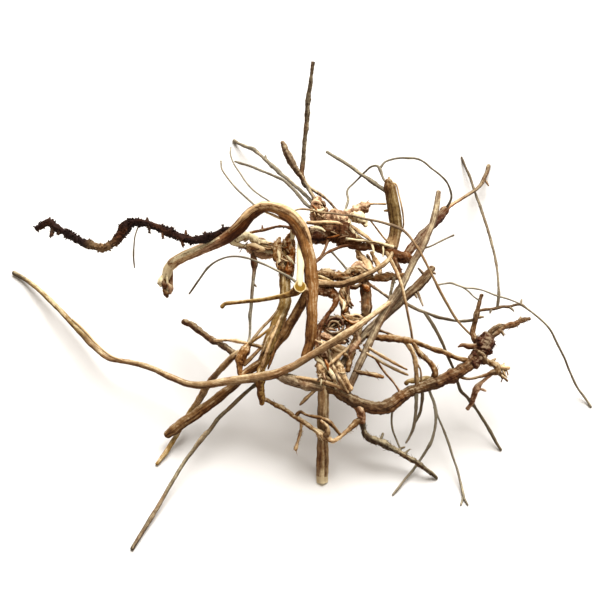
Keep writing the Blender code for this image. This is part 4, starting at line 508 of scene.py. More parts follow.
# Wiry rootlets
ROOTLETS = {
    "dark_root_hair": (
        (139, 224, 52, 0.7), (135, 236, 49, 0.65), (134, 245, 46, 0.7), (133.5, 256, 42.5, 0.8),
        (134.5, 268, 38.5, 0.65),
    ),
    "back_rootlet": (
        (234.5, 141, 0.7, 1.9), (240, 144, 3.5, 1.3), (247, 147, 7, 1.6), (253, 149, 10, 2.2),
        (260, 155, 15, 1.5), (267, 161, 20.5, 1.8), (273, 167, 26, 2.0), (279, 172, 31, 2.2),
        (285, 177, 36, 1.7), (292, 183, 42.5, 1.5), (300, 190, 49, 1.6), (308, 198, 54, 1.8),
        (316, 207, 57, 2.0),
    ),
    "back_rootlet_low": (
        (235, 161.5, 16, 1.0), (243, 164, 19, 1.1), (252, 167, 23, 1.3), (262, 171, 28, 1.2),
        (272, 175, 33, 1.2), (281, 179, 38, 1.3), (288, 184, 42.5, 1.6), (294, 190, 46.5, 1.6),
        (300, 197, 50.5, 1.6), (304, 202, 53.5, 1.5), (309, 206.5, 56, 1.6), (317, 210, 57, 1.8),
    ),
    "hair_loop_1": (
        (231, 147, 52, 0.65), (230.5, 154, 54, 0.7), (233.5, 163, 57, 0.7), (240, 173, 60.5, 0.7),
        (246, 182, 64, 0.7), (253, 190, 67.5, 0.7), (261, 196, 71, 0.7), (270, 202, 75, 0.7),
        (274, 207, 76, 0.8),
    ),
    "hair_loop_2": (
        (221, 161, 46, 0.8), (222, 169, 49, 0.8), (227, 177, 52, 0.8), (234, 186, 56, 0.85),
        (242, 194, 60, 0.9), (250, 201, 65, 0.9), (257, 207, 72, 0.9), (262, 209, 74.5, 1.0),
    ),
    "under_arch": (
        (189, 294, 34, 0.8), (194, 287, 38, 0.9), (201, 277, 43.5, 0.95), (208, 267.5, 48, 0.95),
        (216, 261.5, 51.5, 0.9), (226, 257.5, 54.5, 0.9), (236, 256.5, 57, 0.95), (247, 258, 58.5, 0.9),
        (258, 262, 59, 0.9), (270, 267, 59, 0.9), (281, 272.5, 59, 1.0), (289, 277, 60, 1.2),
        (298, 284, 63.5, 1.2),
    ),
    "top_rootlet": (
        (327, 152, 51, 1.3), (336, 157.5, 53, 1.5), (345, 163, 55, 1.7), (354, 169, 57.5, 1.8),
        (362, 175, 59.5, 1.6), (371, 181, 61, 1.9), (380, 187, 62.5, 2.0), (391, 194, 63, 2.0),
    ),
    "top_curl": (
        (390, 188, 65, 1.2), (387, 184, 66, 1.0), (383, 178, 66.5, 1.0), (380, 170, 67, 1.6),
        (377, 166, 66.5, 1.2), (371, 167, 64.5, 0.9), (365, 172, 61, 0.9), (360, 177, 56, 0.9),
        (354, 183, 55, 0.9), (348, 189, 55, 0.9), (347, 193, 55, 1.2), (348, 200, 55, 1.2),
        (346, 208, 55, 0.9), (344, 218, 54.5, 0.9),
    ),
    "top_arch": (
        (380, 168, 67, 1.2), (385, 162, 68, 0.9), (392, 159.5, 68.5, 0.9), (400, 158, 69, 1.0),
        (408, 158, 69, 1.0), (416, 158.5, 68, 1.0), (424, 162, 66, 0.8), (431, 168, 63, 0.8),
        (439, 174, 59, 0.9), (446, 181, 54, 0.9), (450, 189, 48, 1.1), (451.5, 197, 41, 1.1),
        (449.5, 203, 35, 1.2), (446, 209, 31, 1.4),
    ),
    "sweep": (
        (288, 215, 74.5, 0.9), (296, 210, 68, 0.8), (303, 209, 64, 0.8), (311, 210, 62, 0.8),
        (322, 212.5, 61, 0.9), (334, 213.5, 60.5, 0.9), (343, 215, 60, 0.8), (352, 215.5, 60, 0.8),
        (361, 218, 60, 0.9), (370, 220, 59, 1.0), (378, 221.5, 58.5, 1.0), (387, 224, 58.5, 1.1),
        (396, 227, 58, 1.3), (402, 230, 57.5, 1.3), (408, 235, 57.5, 1.3), (413, 241, 58, 1.2),
        (418, 248, 58, 1.1), (423, 257, 57, 1.1), (428, 267, 55.5, 1.1), (434, 279, 53, 1.2),
        (440, 291, 50, 1.2), (447, 304, 46, 1.2), (454, 316, 42, 1.2), (461, 325, 39, 1.1),
        (468, 332, 37, 1.0), (475, 338, 36, 1.2),
    ),
    "sweep_fork": ((370, 220, 59, 0.8), (377, 229, 55, 0.8), (384, 238, 50, 0.8), (391, 245, 46.5, 1.0)),
    "crown_hook": (
        (356, 245, 49, 1.8), (345, 245.5, 50, 1.5), (335, 249, 52, 1.3), (326, 253.5, 55, 1.3),
        (319, 259, 58.5, 1.6), (311, 265, 64, 1.7),
    ),
    "crown_hook_mate": (
        (329, 238, 52, 1.2), (325, 249, 55.5, 1.1), (321, 256, 58, 1.1), (315, 263, 61.5, 1.3),
    ),
    "crown_thread": ((330, 250, 53.5, 1.0), (338, 259, 51, 0.9), (345, 267, 49, 0.9), (350, 274, 48.5, 1.0)),
    "grey_root_hair": (
        (421, 249, 52.2, 1.0), (430, 246.5, 51, 0.8), (438, 242.5, 49.5, 0.8), (446, 238.5, 48, 0.75),
        (454, 235, 46.5, 0.9),
    ),
    "right_arch": (
        (461.5, 157, 0.5, 1.0), (465, 166, 2.5, 1.2), (469.5, 176, 4.5, 1.2), (473, 186, 7, 1.2),
        (477, 198, 11, 1.2), (482, 212, 16, 1.3), (487, 227, 21, 1.3), (491.5, 243, 26, 1.3),
        (495, 258, 31, 1.1), (497.5, 274, 37, 1.0), (498.5, 288, 42, 1.1), (498.5, 296, 43.5, 1.6),
        (497, 309, 41.3, 1.3),
    ),
    "right_hair": (
        (437, 285, 51.7, 0.8), (445, 283.5, 51, 0.7), (451, 283, 50.5, 0.9), (458, 285.5, 50, 0.8),
        (466, 288, 49, 0.65), (475, 288.5, 48, 0.7), (485, 291, 46.5, 0.7), (492, 294, 44.5, 0.7),
        (499, 296.5, 43.7, 0.9), (506, 298.5, 43, 0.8), (513, 301, 42, 0.7), (521, 304, 39.8, 0.7),
    ),
    "right_hair_fork": (
        (461, 286.5, 49.6, 0.7), (468, 291, 48, 0.65), (473, 296, 46, 0.65), (480, 301, 43.7, 0.8),
    ),
    "long_rootlet": (
        (477, 311, 42, 1.6), (485, 309.5, 42, 1.3), (493, 309, 41.5, 1.4), (502, 307, 41, 1.2),
        (509, 307, 40, 1.4), (515, 305, 39.5, 1.1), (521, 304.5, 38.5, 1.3), (529, 310, 37, 0.9),
        (539, 318, 34.5, 0.9), (549, 328, 31, 1.0), (557, 343, 24, 1.0), (564, 357, 17.5, 1.0),
        (570, 372, 11, 1.0), (577, 387, 5.5, 1.1), (585, 398, 2, 1.0), (591, 407, 0.4, 0.9),
    ),
    "cross_rootlet": (
        (401, 301, 44, 1.6), (409, 305.5, 44, 1.5), (418, 310, 43, 1.3), (427, 313, 42, 1.3),
        (437, 317, 41, 1.3), (447, 319, 40, 1.3), (456, 321, 39, 1.0), (465, 321, 39, 1.3),
        (474, 320, 39.8, 1.6),
    ),
    "drop_rootlet": (
        (424, 311.5, 42.3, 1.3), (430, 320, 41, 1.3), (436, 330, 39, 1.4), (442, 342, 36, 1.4),
        (446, 352, 32.5, 1.4), (451, 363, 28, 1.3), (455, 373, 24, 1.2), (458.5, 384, 20, 1.4),
        (461, 391, 18, 1.6), (467, 397, 16.5, 1.5), (472, 403, 15.5, 2.0), (477, 410, 12, 1.1),
        (484, 421, 8.5, 1.2), (491, 433, 5, 1.3), (496, 442, 2.5, 1.4), (501, 450, 0.5, 1.2),
    ),
    "under_loop": (
        (394, 405, 25, 1.1), (392, 413, 22, 1.0), (391.5, 422, 19, 0.9), (393, 431, 16, 0.9),
        (396.5, 440, 12.5, 0.9), (401, 451, 10.5, 1.0),
    ),
    "under_1": (
        (416, 390, 28.5, 1.7), (416.5, 400, 25, 1.5), (416, 409, 21, 1.5), (415, 418, 17.5, 1.4),
        (413.5, 427, 14, 1.3), (410.5, 435, 11, 1.1), (406, 443, 9, 0.9),
    ),
    "under_2": (
        (422, 389, 28.5, 1.6), (422.5, 397, 25.5, 1.6), (421.5, 406, 22, 1.4), (419.5, 414, 18.5, 1.2),
        (414.5, 423, 15.5, 1.2),
    ),
    "under_3": (
        (428, 387, 28.5, 1.3), (431, 395, 26, 1.3), (434, 403, 23.5, 1.3), (435.5, 412, 20.5, 1.3),
        (435.5, 422, 17.5, 1.2), (434, 432, 14.5, 1.2), (430.5, 443, 11, 1.3), (425.5, 452, 7.5, 1.3),
        (419.5, 461, 4.5, 1.1), (412, 471, 2.8, 1.1), (404, 480, 1.8, 1.1), (398, 488, 1.2, 1.1),
        (392.5, 495, 0.4, 0.9),
    ),
    "under_4": (
        (434, 407, 22.3, 1.1), (438, 417, 18, 0.9), (443, 429, 14, 1.0), (448.5, 443, 10, 1.0),
        (453, 457, 6.5, 1.1), (457.5, 471, 4, 1.1), (461, 485, 2, 1.1), (464, 498, 0.7, 1.4),
    ),
    "under_4_fork_1": ((463.5, 496, 0.8, 1.0), (461, 505, 0.5, 0.8)),
    "under_4_fork_2": ((464, 498, 0.8, 1.0), (468, 505, 0.5, 0.8)),
}

# The cut stem in front: its last point is the foot
STEM = {
    "stem": (
        (324, 385, 35.5, 4.4), (323.5, 398, 31, 4.6), (323, 415, 25, 4.8), (322.7, 435, 18, 4.9),
        (322.4, 459, 7.8, 5.1), (322, 481, 0, 5.2),
    ),
}

# Short side buds: the strand they grow on, where they leave it and where they end, thickness
BUDS = (
    ("dark_root", 49, 223, 50, 217.5, 1.4),
    ("dark_root", 51, 228, 51, 236, 2.0),
    ("dark_root", 58, 231, 58, 235, 1.5),
    ("dark_root", 147, 223, 147, 217.5, 1.3),
    ("dark_root", 149, 226, 149, 233, 1.3),
    ("dark_root", 163, 230, 163, 238, 1.3),
    ("dark_root", 182, 238, 183, 246.5, 1.4),
    ("dark_root", 186, 237, 186, 230, 1.3),
    ("dark_root", 172, 233, 172, 227.5, 1.3),
    ("dark_root", 205, 238, 205, 231.5, 1.3),
    ("dark_root", 223, 230, 223, 224.5, 1.3),
    ("back_rootlet", 266, 160, 265.5, 155, 1.1),
    ("upright_root", 390, 184, 389, 177, 1.4),
    ("upright_root", 390, 211, 384, 211, 1.4),
    ("hanging_root", 253, 283, 256.5, 287, 1.0),
    ("loop_twig", 262, 230, 262, 225, 0.9),
    ("crown_leg_2", 346, 301, 353.5, 306, 1.4),
    ("slant_root", 430, 271, 435.5, 274, 1.3),
    ("slant_root", 413, 292, 417, 298, 1.3),
    ("slant_root", 416, 288, 423, 306, 1.2),
    ("slant_root", 426, 277, 418, 268, 1.3),
    ("far_root", 484, 179, 489, 186, 1.2),
    ("rhizome_shoot", 476, 317, 484, 317, 1.3),
    ("long_rootlet", 509, 307, 514, 311.5, 1.1),
    ("long_rootlet", 521, 304.5, 522, 299, 1.0),
    ("long_rootlet", 491, 309, 490, 313.5, 1.0),
    ("rhizome_hook", 501, 330, 504, 335.5, 1.3),
    ("rhizome_hook", 518, 323, 521, 316.5, 1.1),
    ("rhizome", 474, 349, 471.5, 354.5, 1.5),
    ("end_knot", 491, 363, 496, 358.5, 1.2),
    ("rhizome_twig", 477, 388, 486, 391, 1.2),
    ("forward_root", 380, 441, 383, 433, 1.3),
    ("forward_root", 397, 451, 405, 447, 1.2),
    ("forward_root", 404, 455, 410, 449, 1.1),
)

# The shape of a side bud: how far its middle may bend in mm, where its middle is as a share of
# its length, and its foot and its tip as shares of its thickness
BUD_BEND = 0.2
BUD_MIDDLE = 0.55
BUD_FOOT = 1.1
BUD_TIP = 0.55

# Short strands, knots and slivers that fill the heart of the crown
HEART = {
    "white_stub": ((292, 226, 66, 1.6), (292.5, 231, 63, 2.4), (293, 238, 60.5, 1.8)),
    "dark_cord": ((294, 240, 60, 1.0), (294, 255, 57.5, 1.2), (293.5, 268, 55, 1.2), (292, 277, 54, 0.9)),
    "fleck_1": ((278, 251, 58.5, 0.9), (279.5, 255, 58.8, 1.4), (279.5, 259, 58.5, 1.0)),
    "fleck_2": ((279, 259, 58, 0.9), (279.7, 261.5, 58, 1.4), (280, 264, 57.5, 0.8)),
    "fleck_3": ((287, 256, 58.5, 0.8), (290, 259.5, 58.5, 1.2), (294, 264, 57.5, 0.7)),
    "pale_knob_1": ((245, 241, 57.5, 1.4), (250, 237, 58.5, 2.6), (255, 240, 58, 2.8), (259, 244, 57, 1.6)),
    "pale_knob_2": (
        (247, 246, 57, 1.2), (253, 246.5, 57.5, 2.4), (259, 249, 57, 2.4), (265, 250, 56.5, 1.4),
    ),
    "dark_knob": ((256, 238, 57, 1.4), (262, 240, 56.5, 2.0), (269, 244, 56, 1.2)),
    "fan_1": ((314, 276, 57, 1.4), (320, 277.5, 56.5, 1.6), (326, 280, 56, 1.6), (333, 282.5, 56, 1.2)),
    "fan_2": ((314, 279.5, 57.5, 1.3), (321, 281, 57, 1.4), (328, 282.5, 56.5, 1.4), (335, 283.5, 56, 1.0)),
    "arch_under": (
        (330, 286, 54, 1.2), (341, 286, 53.5, 1.6), (352, 283, 53, 1.8), (362, 279, 52, 1.8),
        (372, 274, 51, 1.4),
    ),
    "bough_lens": (
        (317, 274, 53, 1.2), (324, 272.5, 51.5, 3.0), (331, 274.5, 50.5, 4.4), (338, 277, 49.5, 3.6),
        (344, 278, 49, 1.8),
    ),
    "bough_knob": ((344, 276, 50, 2.0), (351, 271.5, 49.5, 3.0), (358, 271, 49, 3.4), (364, 272, 48.5, 2.0)),
    "crown_lobe": ((312, 238, 54, 2.0), (317, 237, 54, 4.6), (323, 237, 53, 4.0), (328, 238, 52.5, 2.0)),
    "crown_pale": ((309, 229, 55, 1.0), (315, 228, 55, 2.0), (321, 229.5, 55, 1.8), (325, 232, 54.5, 1.0)),
    "knot_pale_1": (
        (312, 206, 59, 1.2), (314, 203, 59.5, 1.8), (318, 202.5, 60, 1.8), (322, 205, 59.5, 1.2),
    ),
    "knot_pale_2": (
        (311, 212, 58.5, 1.0), (315, 210, 59, 1.8), (320, 211, 59.5, 1.8), (324, 209, 59.5, 1.0),
    ),
    "knot_dark": ((320, 204, 59.8, 0.9), (323, 202, 60, 1.4), (325, 206, 59.5, 1.0)),
    "pale_band_1": (
        (346, 214, 54.5, 1.4), (348, 220, 54, 2.2), (350, 227, 53.5, 2.2), (354, 233, 52.5, 1.8),
        (358, 238, 51.5, 1.2),
    ),
    "pale_band_2": ((352, 226, 53, 1.2), (359, 231, 53, 1.6), (366, 236, 52.5, 1.6), (371, 240, 51, 1.0)),
    "pale_band_3": ((352, 232, 52, 1.0), (358, 236, 52, 1.6), (364, 240, 51, 1.4), (370, 243, 50, 1.0)),
    "arm_bridge_1": ((371, 243, 50, 0.8), (373, 248, 49.8, 1.0), (374, 253, 49, 0.8)),
    "arm_bridge_2": ((383, 246, 49.5, 0.8), (383.5, 252, 49, 0.9), (383, 257, 48, 0.7)),
    "pale_heart_1": ((357, 250, 46.5, 2.0), (361, 257, 44, 3.6), (366, 263, 43.5, 3.8), (370, 272, 46, 2.4)),
    "pale_heart_2": ((352, 268, 47.5, 1.4), (358, 265, 45, 2.8), (365, 269, 45, 2.4), (372, 275, 46, 1.4)),
    "pale_heart_3": ((371, 252, 47, 1.2), (376, 261, 45, 2.6), (379, 268, 45.5, 2.6), (381, 276, 46, 1.6)),
    "leg_web": ((345, 283, 48.5, 1.6), (351, 286, 48.5, 2.2), (356, 287, 48.5, 1.8), (361, 284, 48.5, 1.6)),
    "leg_edge": ((349, 285, 49, 1.0), (348.5, 293, 48.5, 1.2), (349.5, 301, 48, 1.2), (353, 306, 47.5, 0.9)),
    "leg_pale_1": ((335, 290, 50.5, 1.0), (339, 297, 50.5, 1.6), (343, 304, 50, 1.6), (345, 309, 49, 1.0)),
    "leg_pale_2": ((342, 300, 50, 0.8), (344.5, 306, 50, 1.5), (343, 310, 49.5, 0.8)),
    "leg_burl": ((363, 285, 49.3, 1.6), (366, 287.5, 49.6, 2.8), (368, 291, 49.2, 1.6)),
    "ring_1": (
        (326, 326, 47.5, 0.8), (328.5, 320.5, 48, 1.1), (335, 317.5, 48.2, 1.3), (341, 320, 47.8, 1.1),
        (343, 325, 47.5, 0.8),
    ),
    "ring_2": (
        (328, 327.5, 48, 0.8), (331, 322.5, 48.4, 1.0), (337, 322.5, 48.2, 1.0), (340, 326.5, 47.6, 0.8),
    ),
    "ring_3": (
        (326.5, 330, 47.5, 0.8), (332, 333.5, 47.8, 1.1), (339, 332.5, 47.8, 1.1), (344, 327, 47.5, 0.8),
    ),
    "knot_pink": ((344, 314, 47, 0.9), (350, 316, 47, 1.4), (357, 315, 46.8, 1.4), (363, 318, 46, 0.9)),
    "knot_red": ((349, 321, 47.2, 1.0), (353, 323, 47.5, 1.5), (359, 321.5, 47, 1.0)),
    "drop_side_1": (
        (281, 316, 48.5, 0.9), (277, 326, 47.5, 1.4), (272, 338, 45.5, 1.5), (268, 349, 43.5, 1.4),
        (264, 360, 40, 1.2), (261, 370, 36.5, 0.9),
    ),
    "drop_side_2": (
        (286, 318, 47.5, 0.8), (282, 332, 46, 1.3), (277, 345, 44, 1.4), (272, 357, 41, 1.3),
        (268, 369, 38, 0.9),
    ),
    "drop_side_3": ((274, 326, 47, 0.8), (268, 338, 44.5, 1.2), (264, 348, 42.5, 1.2), (259, 359, 39, 1.0)),
    "drop_mass_1": (
        (279, 238, 57, 1.6), (278, 246, 57, 3.4), (279, 256, 56.5, 4.2), (281, 266, 55.5, 3.4),
        (282, 274, 54, 1.8),
    ),
    "drop_mass_2": (
        (290, 239, 58, 1.8), (291, 247, 57.5, 3.2), (291, 258, 57, 3.6), (289, 268, 56, 3.0),
        (287, 277, 54.5, 1.6),
    ),
    "heart_1": (
        (314, 340, 47, 1.2), (325, 345, 46, 1.6), (334, 349, 45, 1.8), (343, 353, 44, 1.5),
        (351, 358, 41.5, 1.2),
    ),
    "heart_2": (
        (322, 373, 41, 1.1), (330, 364, 43.5, 1.3), (338, 357, 44.5, 1.5), (346, 350, 45, 1.4),
        (353, 342, 43, 1.2),
    ),
    "heart_4": (
        (328, 350, 45, 1.3), (331, 362, 43, 1.7), (335, 372, 41.5, 1.9), (341, 382, 39, 1.7),
        (348, 393, 34, 1.4),
    ),
    "heart_5": ((325, 360, 45, 0.9), (327, 365, 45, 1.6), (328, 370, 44, 0.9)),
    "heart_6": (
        (296, 377, 39.5, 1.2), (310, 379, 39, 1.5), (324, 382, 38.5, 1.8), (338, 386, 37, 1.8),
        (348, 392, 34, 1.4),
    ),
    "heart_7": ((356, 331, 46.5, 1.2), (358, 341, 45.5, 2.0), (352, 349, 44.5, 2.0), (349, 358, 42, 1.4)),
    "heart_8": (
        (361, 318, 45.5, 2.0), (359, 330, 45, 2.8), (355, 343, 44, 3.0), (351, 357, 42, 2.8),
        (348, 371, 39.5, 2.0),
    ),
    "mass_1": (
        (318, 340, 43.5, 2.0), (323, 348, 43, 4.0), (327, 358, 41.5, 5.0), (331, 368, 40, 5.0),
        (336, 378, 38, 4.2), (341, 387, 35.5, 2.4),
    ),
    "mass_2": (
        (338, 345, 43, 1.8), (335, 354, 42.5, 3.2), (337, 364, 41, 3.8), (341, 374, 39, 3.6),
        (345, 383, 36.5, 2.2),
    ),
    "mass_3": ((316, 350, 42, 1.6), (320, 360, 41, 3.0), (322, 370, 39.5, 3.2), (326, 380, 37.5, 2.4)),
    "gap_1": (
        (317, 333, 46, 1.8), (324, 336, 45.5, 3.4), (331, 339, 45, 3.6), (338, 341, 44.5, 3.0),
        (345, 343, 43.5, 1.8),
    ),
    "gap_2": ((318, 341, 45, 1.6), (326, 345, 44.5, 2.8), (336, 348, 43.5, 3.0), (345, 350, 43, 2.0)),
}

# Mats of fine rootlets: middle of the mat in the view, its height in mm, half its width and
# half its depth in view pixels, the way the rootlets run in degrees, how many there are, tints
MATS = (
    (330, 363, 41.5, 14, 20, 60, 46, "pale"),
    (330, 366, 39.5, 13, 18, 50, 36, "pale"),
    (366, 262, 44.5, 7, 7, 60, 14, "pale"),
    (351, 338, 42.5, 10, 12, 50, 14, "dark"),
    (334, 326, 46.8, 8, 6, 0, 14, "dark"),
    (330, 234, 54.5, 18, 6, 5, 26, "dark"),
    (285, 255, 58.5, 6, 13, 85, 24, "rusty"),
    (345, 321, 47.5, 18, 5, 10, 26, "dark"),
    (318, 210, 59.5, 6, 8, 60, 14, "rusty"),
    (258, 246, 58.0, 18, 3, 12, 18, "rusty"),
    (350, 274, 50.0, 26, 3, 0, 20, "dark"),
    (346, 300, 49.5, 4, 11, 85, 12, "dark"),
    (503, 373, 31.5, 3, 6, 80, 10, "pale"),
)

# What the rootlets of all mats share
MAT_FAN = 26.0  # how far their ways scatter, in degrees
MAT_SPREAD = 0.8  # how much of the mat's half sizes their middles keep to
MAT_LAYERS = (-2.0, 1.0)  # how far below and above the mat's height they lie, in mm
MAT_REACH = (2.5, 7.0)  # half their length, in view pixels
MAT_BEND = 0.3  # how far they bow aside, as a share of half their length
MAT_DIP = 2.0  # how far their ends dip, in mm
MAT_SHARES = (-1.0, -0.4, 0.3, 1.0)  # where along them their routes have points
MAT_THICKNESS = (0.4, 1.25)  # in mm
MAT_KNOTS = 0.3  # their knots, as a share of the radius

# Their tints. One that stands twice is twice as common
MAT_TINTS = {
    "pale": ("straw", "straw", "tan", "pink_tan", "cream", "grey_tan", "pink_tan", "tan"),
    "dark": ("dark_brown", "brown", "rust", "pink_tan", "black_brown", "tan"),
    "rusty": ("rust", "amber", "brown", "straw", "dark_brown", "tan"),
}

# The tint of each strand that differs from its piece's
STRAND_TINTS = {
    "cream": (
        "peeled_strip", "torn_strip_1", "torn_strip_5", "white_stub", "fleck_1", "fleck_2", "fleck_3",
        "pale_knob_1", "crown_pale", "knot_pale_2", "pale_band_1", "arm_bridge_1", "arm_bridge_2",
        "leg_pale_2", "knuckle_low", "crown_bar_low", "low_strand_1", "pale_knobs", "loop_top", "knot_link",
        "torn_knob_1", "pale_runner",
    ),
    "straw": (
        "low_strand_2", "long_sliver", "pale_knob_2", "fan_2", "pale_band_2", "pale_band_3", "pale_heart_1",
        "pale_heart_3", "leg_pale_1", "heart_1", "heart_6", "sweep_fork", "dark_sliver", "knuckle_hair",
        "loop_twig_high", "heart_2", "drop_side_1", "upright_hair", "crown_bar", "left_root_upper",
        "mass_2", "mass_3", "gap_2", "loop_rib", "front_twig", "end_knot_tip", "low_strand_3",
    ),
    "tan": (
        "arched_root", "heart_4", "curl_hair", "low_twig_3", "low_twig_4", "pair_strand_1",
        "splayed_root_thin", "bowed_root", "cream_loop", "stem", "drop_side_3", "torn_strip_6",
        "front_spur", "mid_fork",
    ),
    "grey_tan": ("grey_root", "tall_twig_root_1", "tall_twig_fork", "slant_root", "low_twig_1"),
    "slate": ("hanging_root",),
    "pink_tan": (
        "torn_strip_3", "knot_pale_1", "pale_heart_2", "knot_pink", "heart_7", "upper_knot", "knuckle_high",
        "low_twig_5", "mass_1", "torn_knob_3", "gap_1", "fork_base", "rhizome_twig", "under_knobs",
    ),
    "gold": ("cut_branch", "pair_strand_2", "drop_root", "front_stub"),
    "rust": ("leg_burl", "knot_red", "heart_5", "drop_mass_2"),
    "amber": ("drop_mass_1", "orange_stub", "orange_chunk"),
    "olive": ("upright_root", "torn_strip_2", "torn_strip_4", "fan_1", "olive_end"),
    "grey": (
        "low_twig_2", "tall_twig", "tall_twig_root_2", "grey_root_hair", "right_arch", "straight_root",
        "cross_rootlet", "drop_rootlet", "under_2", "forward_root",
    ),
    "umber": (
        "left_root", "mid_root_upper", "rhizome_shoot", "rhizome_hook_loop", "rhizome_hook", "ring_2",
        "ring_3", "rhizome_under",
    ),
    "dark_brown": (
        "inner_curve", "inner_knot_low", "loop_twig", "loop_inner", "crown_leg_1", "crown_leg_1_side",
        "crown_arm_fork", "dark_cord", "dark_knob", "knot_dark", "leg_web", "leg_edge", "knob_spur",
        "torn_knob_2", "crown_hook", "crown_hook_mate", "crown",
    ),
    "brown": (
        "crown_bough", "bough_lens", "bough_knob", "arch_under", "inner_knot", "orange_twig", "crown_leg_2",
        "front_root_upper", "drop_side_2", "front_root", "torn_knob_4", "end_knot", "heart_8", "curl",
        "mid_root",
    ),
    "red_brown": ("end_burl", "crown_lobe", "ring_1"),
}

# Stretches of a strand that differ from the rest: strand, start and end as shares of its
# length, tint, and whether the bark is off
STRETCHES = (
    ("loop_root", 0.0, 0.06, "cream", True),
    ("loop_root", 0.06, 0.17, "straw", False),
    ("loop_root", 0.17, 0.28, "pink_tan", False),
    ("loop_root", 0.28, 0.45, "dark_brown", False),
    ("long_root", 0.0, 0.05, "grey", False),
    ("long_root", 0.05, 0.26, "olive", False),
    ("dark_root", 0.3, 0.38, "tan", False),
    ("drop_root", 0.0, 0.26, "amber", False),
    ("upright_root", 0.0, 0.1, "dark_brown", False),
    ("upright_root", 0.72, 0.92, "straw", False),
    ("front_root", 0.55, 0.74, "straw", False),
    ("far_root", 0.0, 0.42, "umber", False),
    ("far_root", 0.42, 0.55, "rust", False),
    ("far_root", 0.55, 0.64, "dark_brown", False),
    ("far_root", 0.64, 0.92, "red_brown", False),
    ("far_root", 0.92, 1.0, "dark_brown", False),
    ("rhizome", 0.0, 0.2, "grey_tan", False),
    ("hanging_root", 0.06, 0.26, "dark_brown", False),
    ("splayed_root_thin", 0.55, 1.0, "gold", False),
    ("sweep", 0.0, 0.24, "tan", False),
    ("sweep", 0.24, 0.56, "grey_tan", False),
    ("sweep", 0.56, 1.0, "tan", False),
    ("long_rootlet", 0.0, 0.3, "umber", False),
    ("orange_chunk", 0.0, 0.5, "umber", False),
    ("crown_leg_1", 0.35, 1.0, "umber", False),
    ("slant_root", 0.0, 0.3, "umber", False),
    ("stem", 0.94, 1.0, "cream", True),
)
TINT_BLEND = 7  # over how many curve points a tint flows into the next

# Strands with their bark off
BARE = {
    "peeled_strip", "long_sliver", "torn_strip_1", "torn_strip_5", "white_stub", "fleck_1",
    "fleck_2", "fleck_3", "arm_bridge_1", "arm_bridge_2",
}

# Strands that are knottier or smoother than their piece: knots as a share of the radius
KNOTS = {
    "mass_1": 1.0, "mass_2": 1.0, "mass_3": 0.9, "gap_1": 0.8, "gap_2": 0.8, "pale_runner": 0.7,
    "pale_knobs": 1.0, "drop_root": 0.22, "upper_knot": 1.1, "crown": 0.9, "knuckle_high": 1.0,
    "knuckle_low": 1.0, "inner_knot": 1.1, "inner_knot_low": 1.0, "rhizome_hook": 0.8, "rhizome_under": 0.7,
    "end_knot": 0.9, "end_burl": 0.9, "forward_root": 0.8, "rhizome_twig": 0.9, "curl": 0.8,
    "front_root": 0.9, "front_root_upper": 0.8, "rhizome_hook_loop": 0.8, "mid_root": 0.7,
    "rhizome_shoot": 0.6, "grey_root": 0.2, "upright_root": 0.12, "arched_root": 0.2, "cut_branch": 0.2,
    "peeled_strip": 0.15, "orange_stub": 0.5, "cream_loop": 0.9, "slant_root": 0.25, "bowed_root": 0.2,
    "stem": 0.15, "loop_root": 0.12, "long_root": 0.15, "crown_leg_1": 0.4, "splayed_root": 0.2,
    "hanging_root": 0.2, "drop_mass_1": 1.0, "drop_mass_2": 1.0,
}

# Shaggy strands: loose shreds of bark per square mm
SHAGGY = {
    "mass_1": 0.5, "mass_2": 0.5, "mass_3": 0.3, "crown": 0.35, "upper_knot": 0.3, "crown_lobe": 0.4,
    "drop_root": 0.12, "inner_knot": 0.4, "inner_knot_low": 0.3, "pale_runner": 0.15, "pale_knobs": 0.3,
    "crown_bough": 0.2, "crown_arm": 0.15, "crown_leg_2": 0.2, "bough_lens": 0.2, "bough_knob": 0.3,
    "end_burl": 0.2, "end_knot": 0.5, "rhizome_hook": 0.4, "rhizome_hook_loop": 0.3, "forward_root": 0.35,
    "front_root": 0.3, "front_twig": 0.6, "curl": 0.3, "knuckle_high": 0.15, "heart_1": 0.3, "heart_2": 0.3,
    "heart_4": 0.3, "heart_7": 0.3, "heart_8": 0.3, "orange_chunk": 0.6, "orange_stub": 0.1,
    "drop_mass_1": 0.3, "drop_mass_2": 0.3,
}

# Strands whose first or last end is cut or broken flat
CUT_FIRST = {"cut_branch", "tall_twig", "far_root"}
CUT_LAST = {"stem"}

# A blunt tip: how far past the end, and how thick there, as shares of the thickness
BLUNT_TIP = ((0.14, 0.86), (0.26, 0.6), (0.33, 0.25))


def linear(code):
    """A linear colour from an sRGB hex code."""
    parts = [int(code[i : i + 2], 16) / 255 for i in (1, 3, 5)]
    return tuple(c / 12.92 if c <= 0.04045 else ((c + 0.055) / 1.055) ** 2.4 for c in parts)


def size(name, text, default):
    """A length property that is shown in the scene's unit."""
    return bpy.props.FloatProperty(
        name=name, description=text, default=default, unit="LENGTH", precision=5, min=0.0
    )


def colour(name, text, code):
    """A colour property."""
    return bpy.props.FloatVectorProperty(
        name=name, description=text, default=linear(code), subtype="COLOR", size=3, min=0.0, max=1.0
    )


